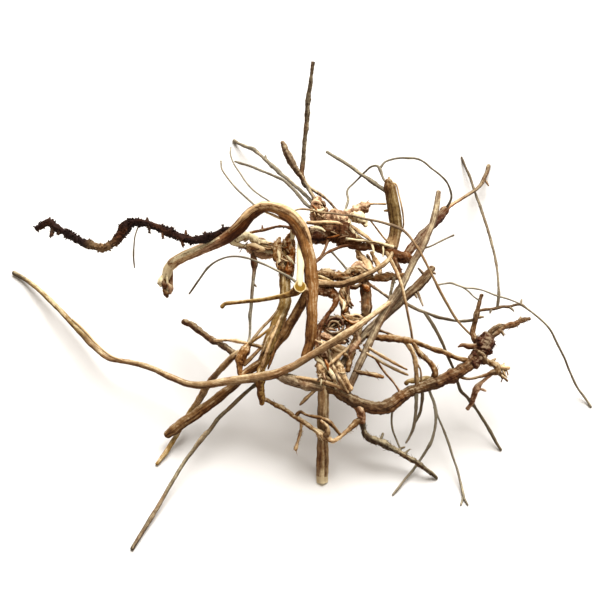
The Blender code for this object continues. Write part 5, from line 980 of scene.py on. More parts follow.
class BarkSizes(bpy.types.PropertyGroup):
    """Sizes of the bark's relief and of what grows on it"""

    wander: size("Wander", "How far a thick strand strays from its smooth route", 1.0 * MM)
    ridge_width: size("Wrinkle width", "Across one wrinkle of the bark", 1.15 * MM)
    ridge_depth: size("Wrinkle depth", "Depth of the wrinkles on a thick root", 0.42 * MM)
    knot_size: size("Knot size", "Across one swelling of a strand", 3.2 * MM)
    bud_width: size("Bud width", "Radius of a small bud's foot", 0.44 * MM)
    bud_length: size("Bud length", "Length of a small bud", 0.8 * MM)
    node_spacing: size("Node spacing", "About how far apart the swellings along a strand are", 7.0 * MM)
    shred_length: size("Shred length", "Length of the longest loose shreds of bark", 2.0 * MM)


class BarkColours(bpy.types.PropertyGroup):
    """Colours of bark and wood in plain light; the pale and the crack colours also carry the painted
    highlight of upper sides and the painted shade of lower sides
    """

    cream: colour("Cream", "Bared wood", "#eedfb6")
    straw: colour("Straw", "Pale bark", "#c4a377")
    tan: colour("Tan", "Weathered bark", "#8f7350")
    grey_tan: colour("Grey tan", "Bark of the smooth slanting root", "#7b6750")
    pink_tan: colour("Pink tan", "Bark of young knuckles", "#ac8768")
    gold: colour("Gold", "Bark of the cut branch", "#94753f")
    amber: colour("Amber", "Bark of the looped root", "#8c6133")
    rust: colour("Rust", "Inner bark", "#92551e")
    olive: colour("Olive", "Bark of the upright root", "#8a7043")
    brown: colour("Brown", "Common bark", "#74532f")
    dark_brown: colour("Dark brown", "Bark of the crown", "#5c361a")
    black_brown: colour("Black brown", "Bark of the dark root", "#230d05")
    red_brown: colour("Red brown", "Bark of the burl and of the darkest knots", "#46220f")
    umber: colour("Umber", "Bark of the rhizome", "#5c432a")
    grey: colour("Grey", "Weathered twigs", "#5f5340")
    slate: colour("Slate", "Bark of wiry rootlets", "#7d7563")
    # Painted highlight as well as worn ridges: upper sides are mixed towards this colour
    bleach_and_highlight: colour("Bleached", "Worn ridges and upper sides", "#f3e2b8")
    # Painted shade as well as cracks: lower sides are multiplied by this colour
    crevice_and_shade: colour("Crevice", "What the tint is multiplied by in cracks", "#84664c")
    end_grain: colour("End grain", "Heart of a cut face", "#86641a")
    sapwood: colour("Sapwood", "Rim of a cut face", "#ecd9a4")


class StageSettings(bpy.types.PropertyGroup):
    """Floor and light"""

    floor: colour("Floor", "The pale surface", "#d6d5d3")
    key_colour: colour("Key colour", "Colour of the main light", "#fdfbfa")
    key_power: bpy.props.FloatProperty(
        name="Key light", description="Strength of the main light", default=6.2
    )
    key_direction: bpy.props.FloatVectorProperty(
        name="Key direction",
        description="Towards the main light",
        default=(0.18, 0.52, 0.95),
        subtype="DIRECTION",
    )
    key_softness: bpy.props.FloatProperty(
        name="Key softness",
        description="How wide the main light is",
        default=math.radians(48),
        subtype="ANGLE",
    )
    sky_colour: colour("Fill colour", "Colour of the light all round", "#fff1de")
    sky_power: bpy.props.FloatProperty(
        name="Fill", description="Strength of the light all round", default=0.5
    )


def ray(across, down):
    """Direction of sight through a view pixel."""
    return (
        FORWARD * VIEW_DISTANCE
        + RIGHT * ((across - VIEW_MIDDLE) * PIXEL)
        + UP * ((VIEW_MIDDLE - down) * PIXEL)
    )


EYE = FOOT - ray(*FOOT_PIXEL)


def sight(across, down, height):
    """The point at this height in mm above the surface that the view shows at this pixel."""
    line = ray(across, down)
    return EYE + line * ((height - EYE.z) / line.z)


def curve_between(points, thicknesses):
    """A smooth curve through the points, as many close points with their thicknesses."""
    first = points[0] * 2 - points[1]
    last = points[-1] * 2 - points[-2]
    line = [first, *points, last]
    knots = [0.0]
    for before, after in zip(line, line[1:]):
        knots.append(knots[-1] + max((after - before).length, 1e-6) ** 0.5)
    found = [(points[0], thicknesses[0])]
    for i in range(1, len(line) - 2):
        p0, p1, p2, p3 = line[i - 1 : i + 3]
        t0, t1, t2, t3 = knots[i - 1 : i + 3]
        steps = max(2, math.ceil((p2 - p1).length / CURVE_STEP))
        for step in range(1, steps + 1):
            t = t1 + (t2 - t1) * step / steps
            a1 = p0 * ((t1 - t) / (t1 - t0)) + p1 * ((t - t0) / (t1 - t0))
            a2 = p1 * ((t2 - t) / (t2 - t1)) + p2 * ((t - t1) / (t2 - t1))
            a3 = p2 * ((t3 - t) / (t3 - t2)) + p3 * ((t - t2) / (t3 - t2))
            b1 = a1 * ((t2 - t) / (t2 - t0)) + a2 * ((t - t0) / (t2 - t0))
            b2 = a2 * ((t3 - t) / (t3 - t1)) + a3 * ((t - t1) / (t3 - t1))
            share = step / steps
            share = share * share * (3 - 2 * share)
            thick = thicknesses[i - 1] * (1 - share) + thicknesses[i] * share
            found.append((b1 * ((t2 - t) / (t2 - t1)) + b2 * ((t - t1) / (t2 - t1)), thick))
    return found


def strand_curve(route, name):
    """The middle line of a strand with its thickness, uneven as in the part's source."""
    chance = random.Random(name)
    points = [sight(across, down, height) for across, down, height, _ in route]
    least = MAT_THICKNESS[0] if name.startswith("mat_") else THINNEST
    thick = [max(least, t * (1 + chance.uniform(-UNEVEN, UNEVEN))) for *_, t in route]
    return curve_between(points, thick)


def rounded_end(curve, at_start):
    """Adds three short steps past an end that draw it in to a blunt tip."""
    tip, thick = curve[0] if at_start else curve[-1]
    inner = curve[1][0] if at_start else curve[-2][0]
    ahead = (tip - inner).normalized()
    steps = [(tip + ahead * thick * reach, thick * share) for reach, share in BLUNT_TIP]
    return [*reversed(steps), *curve] if at_start else [*curve, *steps]


def nearest_on(curve, across, down):
    """The point of a strand's middle line that the view shows nearest to this pixel."""

    def off(entry):
        line = entry[0] - EYE
        line = line * (VIEW_DISTANCE / line.dot(FORWARD))
        seen_across = line.dot(RIGHT) / PIXEL + VIEW_MIDDLE
        seen_down = VIEW_MIDDLE - line.dot(UP) / PIXEL
        return math.hypot(seen_across - across, seen_down - down)

    return min(curve, key=off)[0]


def bud_curve(name, strand, bud):
    """A short tapered side bud that starts in the middle of its strand."""
    _, across, down, end_across, end_down, thick = bud
    base = nearest_on(strand, across, down)
    tip = sight(end_across, end_down, base.z)
    chance = random.Random(name)
    bend = Vector((chance.uniform(-BUD_BEND, BUD_BEND), 0.0, chance.uniform(-BUD_BEND, BUD_BEND)))
    middle = base.lerp(tip, BUD_MIDDLE) + bend
    return [(base, thick * BUD_FOOT), (middle, thick), (tip, thick * BUD_TIP)]


def mat_routes():
    """Routes of the fine rootlets that mat the crown."""
    chance = random.Random("mats")
    routes = {}
    for across, down, height, wide, deep, way, count, tints in MATS:
        for _ in range(count):
            turn = math.radians(way + chance.gauss(0.0, MAT_FAN))
            x = across + wide * chance.uniform(-MAT_SPREAD, MAT_SPREAD)
            y = down + deep * chance.uniform(-MAT_SPREAD, MAT_SPREAD)
            z = height + chance.uniform(*MAT_LAYERS)
            reach = chance.uniform(*MAT_REACH)
            bend = chance.uniform(-MAT_BEND, MAT_BEND)
            thick = chance.uniform(*MAT_THICKNESS)
            route = []
            for share in MAT_SHARES:
                aside = bend * reach * (1 - share * share)
                route.append((
                    x + reach * share * math.cos(turn) - aside * math.sin(turn),
                    y + reach * share * math.sin(turn) + aside * math.cos(turn),
                    z - MAT_DIP * abs(share),
                    thick,
                ))
            tint = chance.choice(MAT_TINTS[tints])
            routes[f"mat_{len(routes) + 1}_{tint}"] = route
    return routes


def look_at(name, share, tint):
    """The tint's name and the bark's absence at a share of a strand's length."""
    for strand, start, end, other, bare in STRETCHES:
        if strand == name and start <= share <= end:
            return other, bare
    if name.startswith("mat_"):
        return name.split("_", 2)[2], False
    found = [key for key, names in STRAND_TINTS.items() if name in names]
    return (found[0] if found else tint), name in BARE


def flowing(tints):
    """Each tint averaged with those near it along the strand."""
    found = []
    for i in range(len(tints)):
        near = tints[max(0, i - TINT_BLEND) : i + TINT_BLEND + 1]
        found.append([sum(parts) / len(near) for parts in zip(*near)])
    return found


def routes_mesh(name, routes, tint, knots):
    """Lines along the routes, whose points hold what the sweep needs to know."""
    colours = bpy.context.scene.root_colours
    curves = {strand: (strand, strand_curve(route, strand)) for strand, route in routes.items()}
    for number, bud in enumerate(BUDS, 1):
        if bud[0] in routes:
            key = f"bud_{number}"
            curves[key] = (bud[0], bud_curve(key, curves[bud[0]][1], bud))
    points, edges = [], []
    values = {"half": [], "sweep": [], "strand": [], "bare": [], "knots": [], "shag": [], "tint": []}
    for key, (strand, curve) in curves.items():
        widest = max(thick for _, thick in curve)
        kind = next(i for i, (least, *_) in enumerate(SWEEPS) if widest >= least)
        if key not in CUT_FIRST:
            curve = rounded_end(curve, True)
        if key not in CUT_LAST:
            curve = rounded_end(curve, False)
        draw = random.Random(key + "_strand").random()
        first = len(points)
        seen = [look_at(strand, i / (len(curve) - 1), tint) for i in range(len(curve))]
        tints = flowing([getattr(colours, look) for look, _ in seen])
        for i, (point, thick) in enumerate(curve):
            points.append(point * MM)
            values["half"].append(thick * MM / 2)
            values["sweep"].append(kind)
            values["strand"].append(draw)
            values["bare"].append(float(seen[i][1]))
            values["knots"].append(MAT_KNOTS if strand.startswith("mat_") else KNOTS.get(strand, knots))
            values["shag"].append(SHAGGY.get(strand, 0.0) / MM**2)
            values["tint"].extend((*tints[i], 1.0))
            if i:
                edges.append((first + i - 1, first + i))
    mesh = bpy.data.meshes.new(name)
    mesh.from_pydata(points, edges, [])
    for key in ("half", "strand", "bare", "knots", "shag"):
        mesh.attributes.new(key, "FLOAT", "POINT").data.foreach_set("value", values[key])
    mesh.attributes.new("sweep", "INT", "POINT").data.foreach_set("value", values["sweep"])
    mesh.attributes.new("tint", "FLOAT_COLOR", "POINT").data.foreach_set("color", values["tint"])
    return mesh


# Kinds of node that the trees use often
MATH = "ShaderNodeMath"
VECTOR_MATH = "ShaderNodeVectorMath"
MIX = "ShaderNodeMix"
NOISE = "ShaderNodeTexNoise"
MAP_RANGE = "ShaderNodeMapRange"
COMBINE = "ShaderNodeCombineXYZ"
STORE = "GeometryNodeStoreNamedAttribute"
RANDOM = "FunctionNodeRandomValue"
MOVE = "GeometryNodeSetPosition"


def connect(tree, node, inputs):
    """Gives a node's sockets a value each, a socket to link, or a list of sockets that join.

    inputs goes by the sockets' names or numbers, or else by their order.
    """
    for key, value in inputs.items() if isinstance(inputs, dict) else enumerate(inputs):
        if isinstance(value, list):
            for socket in value:
                tree.links.new(socket, node.inputs[key])
        elif isinstance(value, bpy.types.NodeSocket):
            tree.links.new(value, node.inputs[key])
        else:
            node.inputs[key].default_value = value


def add_node(tree, kind, inputs=(), **settings):
    """Adds a node with its settings and links and returns its outputs."""
    node = tree.nodes.new(kind)
    for key, value in settings.items():
        setattr(node, key, value)
    connect(tree, node, inputs)
    return node.outputs


def new_tree(name, numbers):
    """A tree that takes a geometry, these named numbers, a seed and three materials.

    Returns the tree and the sockets of what it is given.
    """
    tree = bpy.data.node_groups.new(name, "GeometryNodeTree")
    tree.interface.new_socket("Geometry", in_out="INPUT", socket_type="NodeSocketGeometry")
    for key in numbers:
        tree.interface.new_socket(key, in_out="INPUT", socket_type="NodeSocketFloat")
    tree.interface.new_socket("Seed", in_out="INPUT", socket_type="NodeSocketInt")
    for key in ("Bark", "Bare Wood", "Cut Wood"):
        tree.interface.new_socket(key, in_out="INPUT", socket_type="NodeSocketMaterial")
    tree.interface.new_socket("Geometry", in_out="OUTPUT", socket_type="NodeSocketGeometry")
    return tree, tree.nodes.new("NodeGroupInput").outputs


BARK_INPUTS = (
    "Wander", "Ridge Depth", "Ridge Width", "Knot Size", "Node Spacing", "Buds", "Bud Length",
    "Bud Width", "Shred Length",
)

# What the tree reads at each point: the routes' own values, and what it stores on the way
FIELDS = {
    "half": "FLOAT", "strand": "FLOAT", "bare": "FLOAT", "knots": "FLOAT", "shag": "FLOAT",
    "sweep": "INT", "along": "FLOAT", "turn": "FLOAT", "grain": "FLOAT_VECTOR",
}

# How a strand strays from its route and swells at its nodes
STRAY_SCALE = 75.0  # cells of the stray's noise per metre
STRAY_HALF = 1.4  # half the thickness from which a strand strays fully, in mm
NODES_APART = 90.0  # how far apart two strands may read their nodes' noise, in metres
NODE_LEVELS = (0.48, 0.72)  # where the noise starts a node and where the node is full
NODE_SWELL = 0.55  # how much a node of a strand with full knots swells
BETWEEN_NODES = 0.97  # the strand's thickness between its nodes

# The relief of the bark
BARK_APART = 400.0  # how far apart two strands may read the bark's noise, in mm
WRINKLE_DRAW = 0.055  # a wrinkle's width as a share of its length
GNARL_FINENESS = 2.6  # gnarls are this many times finer than knots
GNARL_CREST = 0.16  # height of a gnarl's crest, before its rise
SLIM_HALF = 2.2  # half the thickness from which wrinkles are fully deep, in mm
LUMP_RISE = 1.7  # how far lumps rise, and gnarls, as shares of the strand's knots
GNARL_RISE = 0.6
GNARL_SHOWN = 3.0  # how strongly gnarls show in the colours

# Buds stand in patches, lean at random and differ in size, as shreds do
BUD_PATCHES = 0.3  # cells of the patches' noise per mm
LEAN = 0.6
SMALLEST = 0.35  # the smallest, as a share of the largest
SHRED_LIE = 2.2  # how much a shred lies along the strand
SHRED_FOOT = 0.11  # its radius at its foot, as a share of its length
SHRED_TAPER = 0.09  # how much less that is at its tip

# A cut face has more corners than any other, and shows its wood where the strand is thick
SIDE_CORNERS = 6.5
CUT_HALF = 0.9  # in mm


def bark_tree():
    """Geometry Nodes that sweep lines into strands with wrinkled, knotty bark and small buds."""
    tree, given = new_tree("bark_on_routes", BARK_INPUTS)
    add = functools.partial(add_node, tree)
    field = {}
    for name, kind in FIELDS.items():
        field[name] = add("GeometryNodeInputNamedAttribute", {"Name": name}, data_type=kind)[0]
    here = add("GeometryNodeInputPosition")[0]
    spline = add("GeometryNodeSplineParameter")
    tangent = add("GeometryNodeInputTangent")[0]
    half = field["half"]
    knots = field["knots"]
    tubes = []
    for number, (_, sides, spacing) in enumerate(SWEEPS):
        inputs = {2: field["sweep"], 3: number}
        chosen = add("FunctionNodeCompare", inputs, data_type="INT", operation="EQUAL")[0]
        inputs = {"Geometry": given["Geometry"], "Selection": chosen}
        part = add("GeometryNodeSeparateGeometry", inputs)[0]
        line = add("GeometryNodeMeshToCurve", {"Mesh": part})[0]
        inputs = {"Curve": line, "Length": spacing * MM}
        even = add("GeometryNodeResampleCurve", inputs, mode="LENGTH")[0]
        for name, value in (("along", spline["Length"]), ("grain", tangent)):
            inputs = {"Geometry": even, "Name": name, "Value": value}
            even = add(STORE, inputs, data_type=FIELDS[name])[0]
        ring = add("GeometryNodeCurvePrimitiveCircle", {"Resolution": sides})[0]
        inputs = {"Geometry": ring, "Name": "turn", "Value": spline["Factor"]}
        ring = add(STORE, inputs, data_type="FLOAT")[0]
        # A strand strays gently from its route
        stray = add(NOISE, {"Vector": here, "Scale": STRAY_SCALE, "Detail": 1.0})["Color"]
        stray = add(VECTOR_MATH, (stray, (0.5, 0.5, 0.5)), operation="SUBTRACT")[0]
        share = add(MATH, (half, STRAY_HALF * MM), operation="DIVIDE")[0]
        share = add(MATH, (share, 1.0), operation="MINIMUM")[0]
        share = add(MATH, (share, given["Wander"]), operation="MULTIPLY")[0]
        stray = add(VECTOR_MATH, {0: stray, "Scale": share}, operation="SCALE")[0]
        bent = add(MOVE, {"Geometry": even, "Offset": stray})[0]
        # and swells at nodes
        apart = add(MATH, (field["strand"], NODES_APART), operation="MULTIPLY")[0]
        run = add(COMBINE, {0: apart, 2: field["along"]})[0]
        scale = add(MATH, (1.0, given["Node Spacing"]), operation="DIVIDE")[0]
        waves = add(NOISE, {"Vector": run, "Scale": scale, "Detail": 1.0})["Fac"]
        inputs = {"Value": waves, "From Min": NODE_LEVELS[0], "From Max": NODE_LEVELS[1]}
        node = add(MAP_RANGE, inputs, interpolation_type="SMOOTHSTEP")[0]
        swell = add(MATH, (knots, NODE_SWELL), operation="MULTIPLY")[0]
        swell = add(MATH, (node, swell), operation="MULTIPLY")[0]
        swell = add(MATH, (swell, BETWEEN_NODES), operation="ADD")[0]
        reach = add(MATH, (half, swell), operation="MULTIPLY")[0]
        inputs = {"Curve": bent, "Profile Curve": ring, "Scale": reach, "Fill Caps": True}
        tubes.append(add("GeometryNodeCurveToMesh", inputs)[0])
    bark = add("GeometryNodeJoinGeometry", {0: tubes})[0]

    # A place on the bark in mm: round the strand on two axes, and along it
    half_mm = add(MATH, (half, 1 / MM), operation="MULTIPLY")[0]
    along_mm = add(MATH, (field["along"], 1 / MM), operation="MULTIPLY")[0]
    angle = add(MATH, (field["turn"], math.tau), operation="MULTIPLY")[0]
    cosine = add(MATH, (angle,), operation="COSINE")[0]
    cosine = add(MATH, (cosine, half_mm), operation="MULTIPLY")[0]
    sine = add(MATH, (angle,), operation="SINE")[0]
    sine = add(MATH, (sine, half_mm), operation="MULTIPLY")[0]
    ring_place = add(COMBINE, (cosine, sine, along_mm))[0]
    apart = add(MATH, (field["strand"], BARK_APART), operation="MULTIPLY")[0]
    place = add(VECTOR_MATH, (ring_place, apart), operation="ADD")[0]
    share_out = add(VECTOR_MATH, (ring_place, half_mm), operation="DIVIDE")[0]
    for name, value in (("bark_place", place), ("share_out", share_out)):
        bark = add(STORE, {"Geometry": bark, "Name": name, "Value": value}, data_type="FLOAT_VECTOR")[0]

    # Wrinkles are drawn out along the strand, lumps are round, gnarls are thin crests
    drawn = add(VECTOR_MATH, (place, (1.0, 1.0, WRINKLE_DRAW)), operation="MULTIPLY")[0]
    relief = []
    for where, width, fineness, detail in (
        (drawn, "Ridge Width", 1.0, 3.0),
        (place, "Knot Size", 1.0, 3.0),
        (place, "Knot Size", GNARL_FINENESS, 2.0),
    ):
        scale = add(MATH, (fineness * MM, given[width]), operation="DIVIDE")[0]
        level = add(NOISE, {"Vector": where, "Scale": scale, "Detail": detail})["Fac"]
        relief.append(add(MATH, (level, 0.5), operation="SUBTRACT")[0])
    ridge, lump, gnarl = relief
    ridge = add(MATH, (ridge, 2.0), operation="MULTIPLY")[0]
    gnarl = add(MATH, (gnarl,), operation="ABSOLUTE")[0]
    gnarl = add(MATH, (gnarl, 2.0), operation="MULTIPLY")[0]
    gnarl = add(MATH, (GNARL_CREST, gnarl), operation="SUBTRACT")[0]
    slim = add(MATH, (half_mm, SLIM_HALF), operation="DIVIDE")[0]
    slim = add(MATH, (slim, 1.0), operation="MINIMUM")[0]
    depth = add(MATH, (given["Ridge Depth"], slim), operation="MULTIPLY")[0]
    ridge_rise = add(MATH, (ridge, depth), operation="MULTIPLY")[0]
    lump_share = add(MATH, (lump, LUMP_RISE), operation="MULTIPLY")[0]
    gnarl_share = add(MATH, (gnarl, GNARL_RISE), operation="MULTIPLY")[0]
    knotty = add(MATH, (lump_share, gnarl_share), operation="ADD")[0]
    knot_height = add(MATH, (knots, half), operation="MULTIPLY")[0]
    lump_rise = add(MATH, (knotty, knot_height), operation="MULTIPLY")[0]
    rise = add(MATH, (ridge_rise, lump_rise), operation="ADD")[0]
    outwards = add("GeometryNodeInputNormal")[0]
    offset = add(VECTOR_MATH, {0: outwards, "Scale": rise}, operation="SCALE")[0]

    # The colours follow the relief
    shown = add(MATH, (ridge, lump), operation="ADD")[0]
    gnarl_share = add(MATH, (gnarl, GNARL_SHOWN), operation="MULTIPLY")[0]
    gnarl_share = add(MATH, (gnarl_share, knots), operation="MULTIPLY")[0]
    shown = add(MATH, (shown, gnarl_share), operation="ADD")[0]
    inputs = {"Geometry": bark, "Name": "ridge", "Value": shown}
    bark = add(STORE, inputs, data_type="FLOAT")[0]
    bark = add(MOVE, {"Geometry": bark, "Offset": offset})[0]

    # Buds: small blunt cones that stand in patches
    patch = add(NOISE, {"Vector": place, "Scale": BUD_PATCHES, "Detail": 1.0})["Fac"]
    patch = add(MATH, (patch, 0.5), operation="GREATER_THAN")[0]
    bud_density = add(MATH, (patch, given["Buds"]), operation="MULTIPLY")[0]
    inputs = {"Vertices": 6, "Radius Top": 0.55, "Radius Bottom": 1.0, "Depth": 1.3}
    cone = add("GeometryNodeMeshCone", inputs)[0]
    cone = add("GeometryNodeTransform", {"Geometry": cone, "Translation": (0.0, 0.0, -0.3)})[0]
    bud_size = add(COMBINE, (given["Bud Width"], given["Bud Width"], given["Bud Length"]))[0]

    # Shreds: bent slivers of bark that lie along the strand and curl away from it
    inputs = {"Resolution": 4, "Start": (0.0, 0.0, -0.1), "Middle": (0.0, 0.0, 0.5), "End": (0.32, 0.0, 1.0)}
    bend = add("GeometryNodeCurveQuadraticBezier", inputs)[0]
    taper = add(MATH, (spline["Factor"], SHRED_TAPER), operation="MULTIPLY")[0]
    taper = add(MATH, (SHRED_FOOT, taper), operation="SUBTRACT")[0]
    profile = add("GeometryNodeCurvePrimitiveCircle", {"Resolution": 3})[0]
    inputs = {"Curve": bend, "Profile Curve": profile, "Scale": taper, "Fill Caps": True}
    sliver = add("GeometryNodeCurveToMesh", inputs)[0]
    inputs = {0: (1.0, 1.0, 1.0), "Scale": given["Shred Length"]}
    shred_size = add(VECTOR_MATH, inputs, operation="SCALE")[0]
    either_way = add(RANDOM, {2: -1.0, 3: 1.0})[1]
    either_way = add(MATH, (either_way,), operation="SIGN")[0]
    either_way = add(MATH, (either_way, SHRED_LIE), operation="MULTIPLY")[0]
    along_grain = add(VECTOR_MATH, {0: field["grain"], "Scale": either_way}, operation="SCALE")[0]

    whole = [bark]
    for piece, density, direction, largest in (
        (cone, bud_density, (0.0, 0.0, 0.0), bud_size),
        (sliver, field["shag"], along_grain, shred_size),
    ):
        inputs = {"Mesh": bark, "Density": density, "Seed": given["Seed"]}
        spots = add("GeometryNodeDistributePointsOnFaces", inputs)
        inputs = {0: (-LEAN, -LEAN, -LEAN), 1: (LEAN, LEAN, LEAN), "Seed": given["Seed"]}
        lean = add(RANDOM, inputs, data_type="FLOAT_VECTOR")[0]
        facing = add(VECTOR_MATH, (spots["Normal"], lean), operation="ADD")[0]
        facing = add(VECTOR_MATH, (facing, direction), operation="ADD")[0]
        facing = add("FunctionNodeAlignRotationToVector", {"Vector": facing}, axis="Z")[0]
        share = add(RANDOM, {2: SMALLEST, 3: 1.0, "Seed": given["Seed"]})[1]
        inputs = {
            "Points": spots["Points"],
            "Instance": piece,
            "Rotation": facing,
            "Scale": add(VECTOR_MATH, {0: largest, "Scale": share}, operation="SCALE")[0],
        }
        whole.append(add("GeometryNodeInstanceOnPoints", inputs)[0])
    solid = add("GeometryNodeJoinGeometry", {0: whole})[0]
    solid = add("GeometryNodeSetShadeSmooth", {"Geometry": solid})[0]
    solid = add("GeometryNodeRealizeInstances", {"Geometry": solid})[0]

    # Nothing reaches below the surface that the clump lies on
    lifted = add(VECTOR_MATH, (here, (-1.0, -1.0, 0.0)), operation="MAXIMUM")[0]
    solid = add(MOVE, {"Geometry": solid, "Position": lifted})[0]

    corners = add("GeometryNodeInputMeshFaceNeighbors")[0]
    cap = add(MATH, (corners, SIDE_CORNERS), operation="GREATER_THAN")[0]
    thick = add(MATH, (half, CUT_HALF * MM), operation="GREATER_THAN")[0]
    cap = add(MATH, (cap, thick), operation="MULTIPLY")[0]
    bare = add(MATH, (field["bare"], 0.5), operation="GREATER_THAN")[0]
    for material, where in (("Bark", True), ("Bare Wood", bare), ("Cut Wood", cap)):
        inputs = {"Geometry": solid, "Selection": where, "Material": given[material]}
        solid = add("GeometryNodeSetMaterial", inputs)[0]
    connect(tree, tree.nodes.new("NodeGroupOutput"), {0: solid})
    return tree


def plain_mesh(obj, tree, values, name):
    """Runs a Geometry Nodes tree on an object and returns its result as a plain mesh."""
    modifier = obj.modifiers.new(name, "NODES")
    modifier.node_group = tree
    for item in tree.interface.items_tree:
        if item.in_out == "INPUT" and item.name in values:
            modifier[item.identifier] = values[item.name]
    obj.update_tag()
    bpy.context.view_layer.update()
    graph = bpy.context.evaluated_depsgraph_get()
    mesh = bpy.data.meshes.new_from_object(obj.evaluated_get(graph))
    obj.modifiers.remove(modifier)
    if not mesh.polygons:
        raise RuntimeError(f"{name} came out empty")
    return mesh


def hand_over(name, mesh):
    """Makes the mesh a piece that rides on the root and stands for its solid."""
    mesh.name = name
    piece = bpy.data.objects.new(name, mesh)
    bpy.context.scene.collection.objects.link(piece)
    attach(piece, BODY)
    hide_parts(NODE)


def grow(name, routes, tint, bark, knots=0.3, ridges=1.0, buds=0.0, seed=1):
    """Grows one piece from its routes. buds counts them per square mm where they stand."""
    sizes = bpy.context.scene.root_sizes
    tree = bpy.data.node_groups.get("bark_on_routes") or bark_tree()
    lines = bpy.data.objects.new(name + "_routes", routes_mesh(name + "_routes", routes, tint, knots))
    bpy.context.scene.collection.objects.link(lines)
    values = {
        "Wander": sizes.wander,
        "Ridge Depth": sizes.ridge_depth * ridges,
        "Ridge Width": sizes.ridge_width,
        "Knot Size": sizes.knot_size,
        "Node Spacing": sizes.node_spacing,
        "Buds": buds / MM**2,
        "Bud Length": sizes.bud_length,
        "Bud Width": sizes.bud_width,
        "Shred Length": sizes.shred_length,
        "Seed": seed,
        "Bark": finish(bark),
        "Bare Wood": finish("peeled root wood"),
        "Cut Wood": finish("cut root wood"),
    }
    mesh = plain_mesh(lines, tree, values, name)
    bpy.data.objects.remove(lines)
    hand_over(name, mesh)


# Dry bark and wood hardly mirror
DULL = 0.15
FIBRE_HALF = 1.8  # half the thickness from which the fibres of bark show fully, in mm
FIBRE_LEAST = 0.3  # how much they show on the thinnest strand


def new_material(name):
    """A new material, its tree and its shader."""
    material = bpy.data.materials.new(name)
    material.use_nodes = True
    return material, material.node_tree, material.node_tree.nodes["Principled BSDF"]


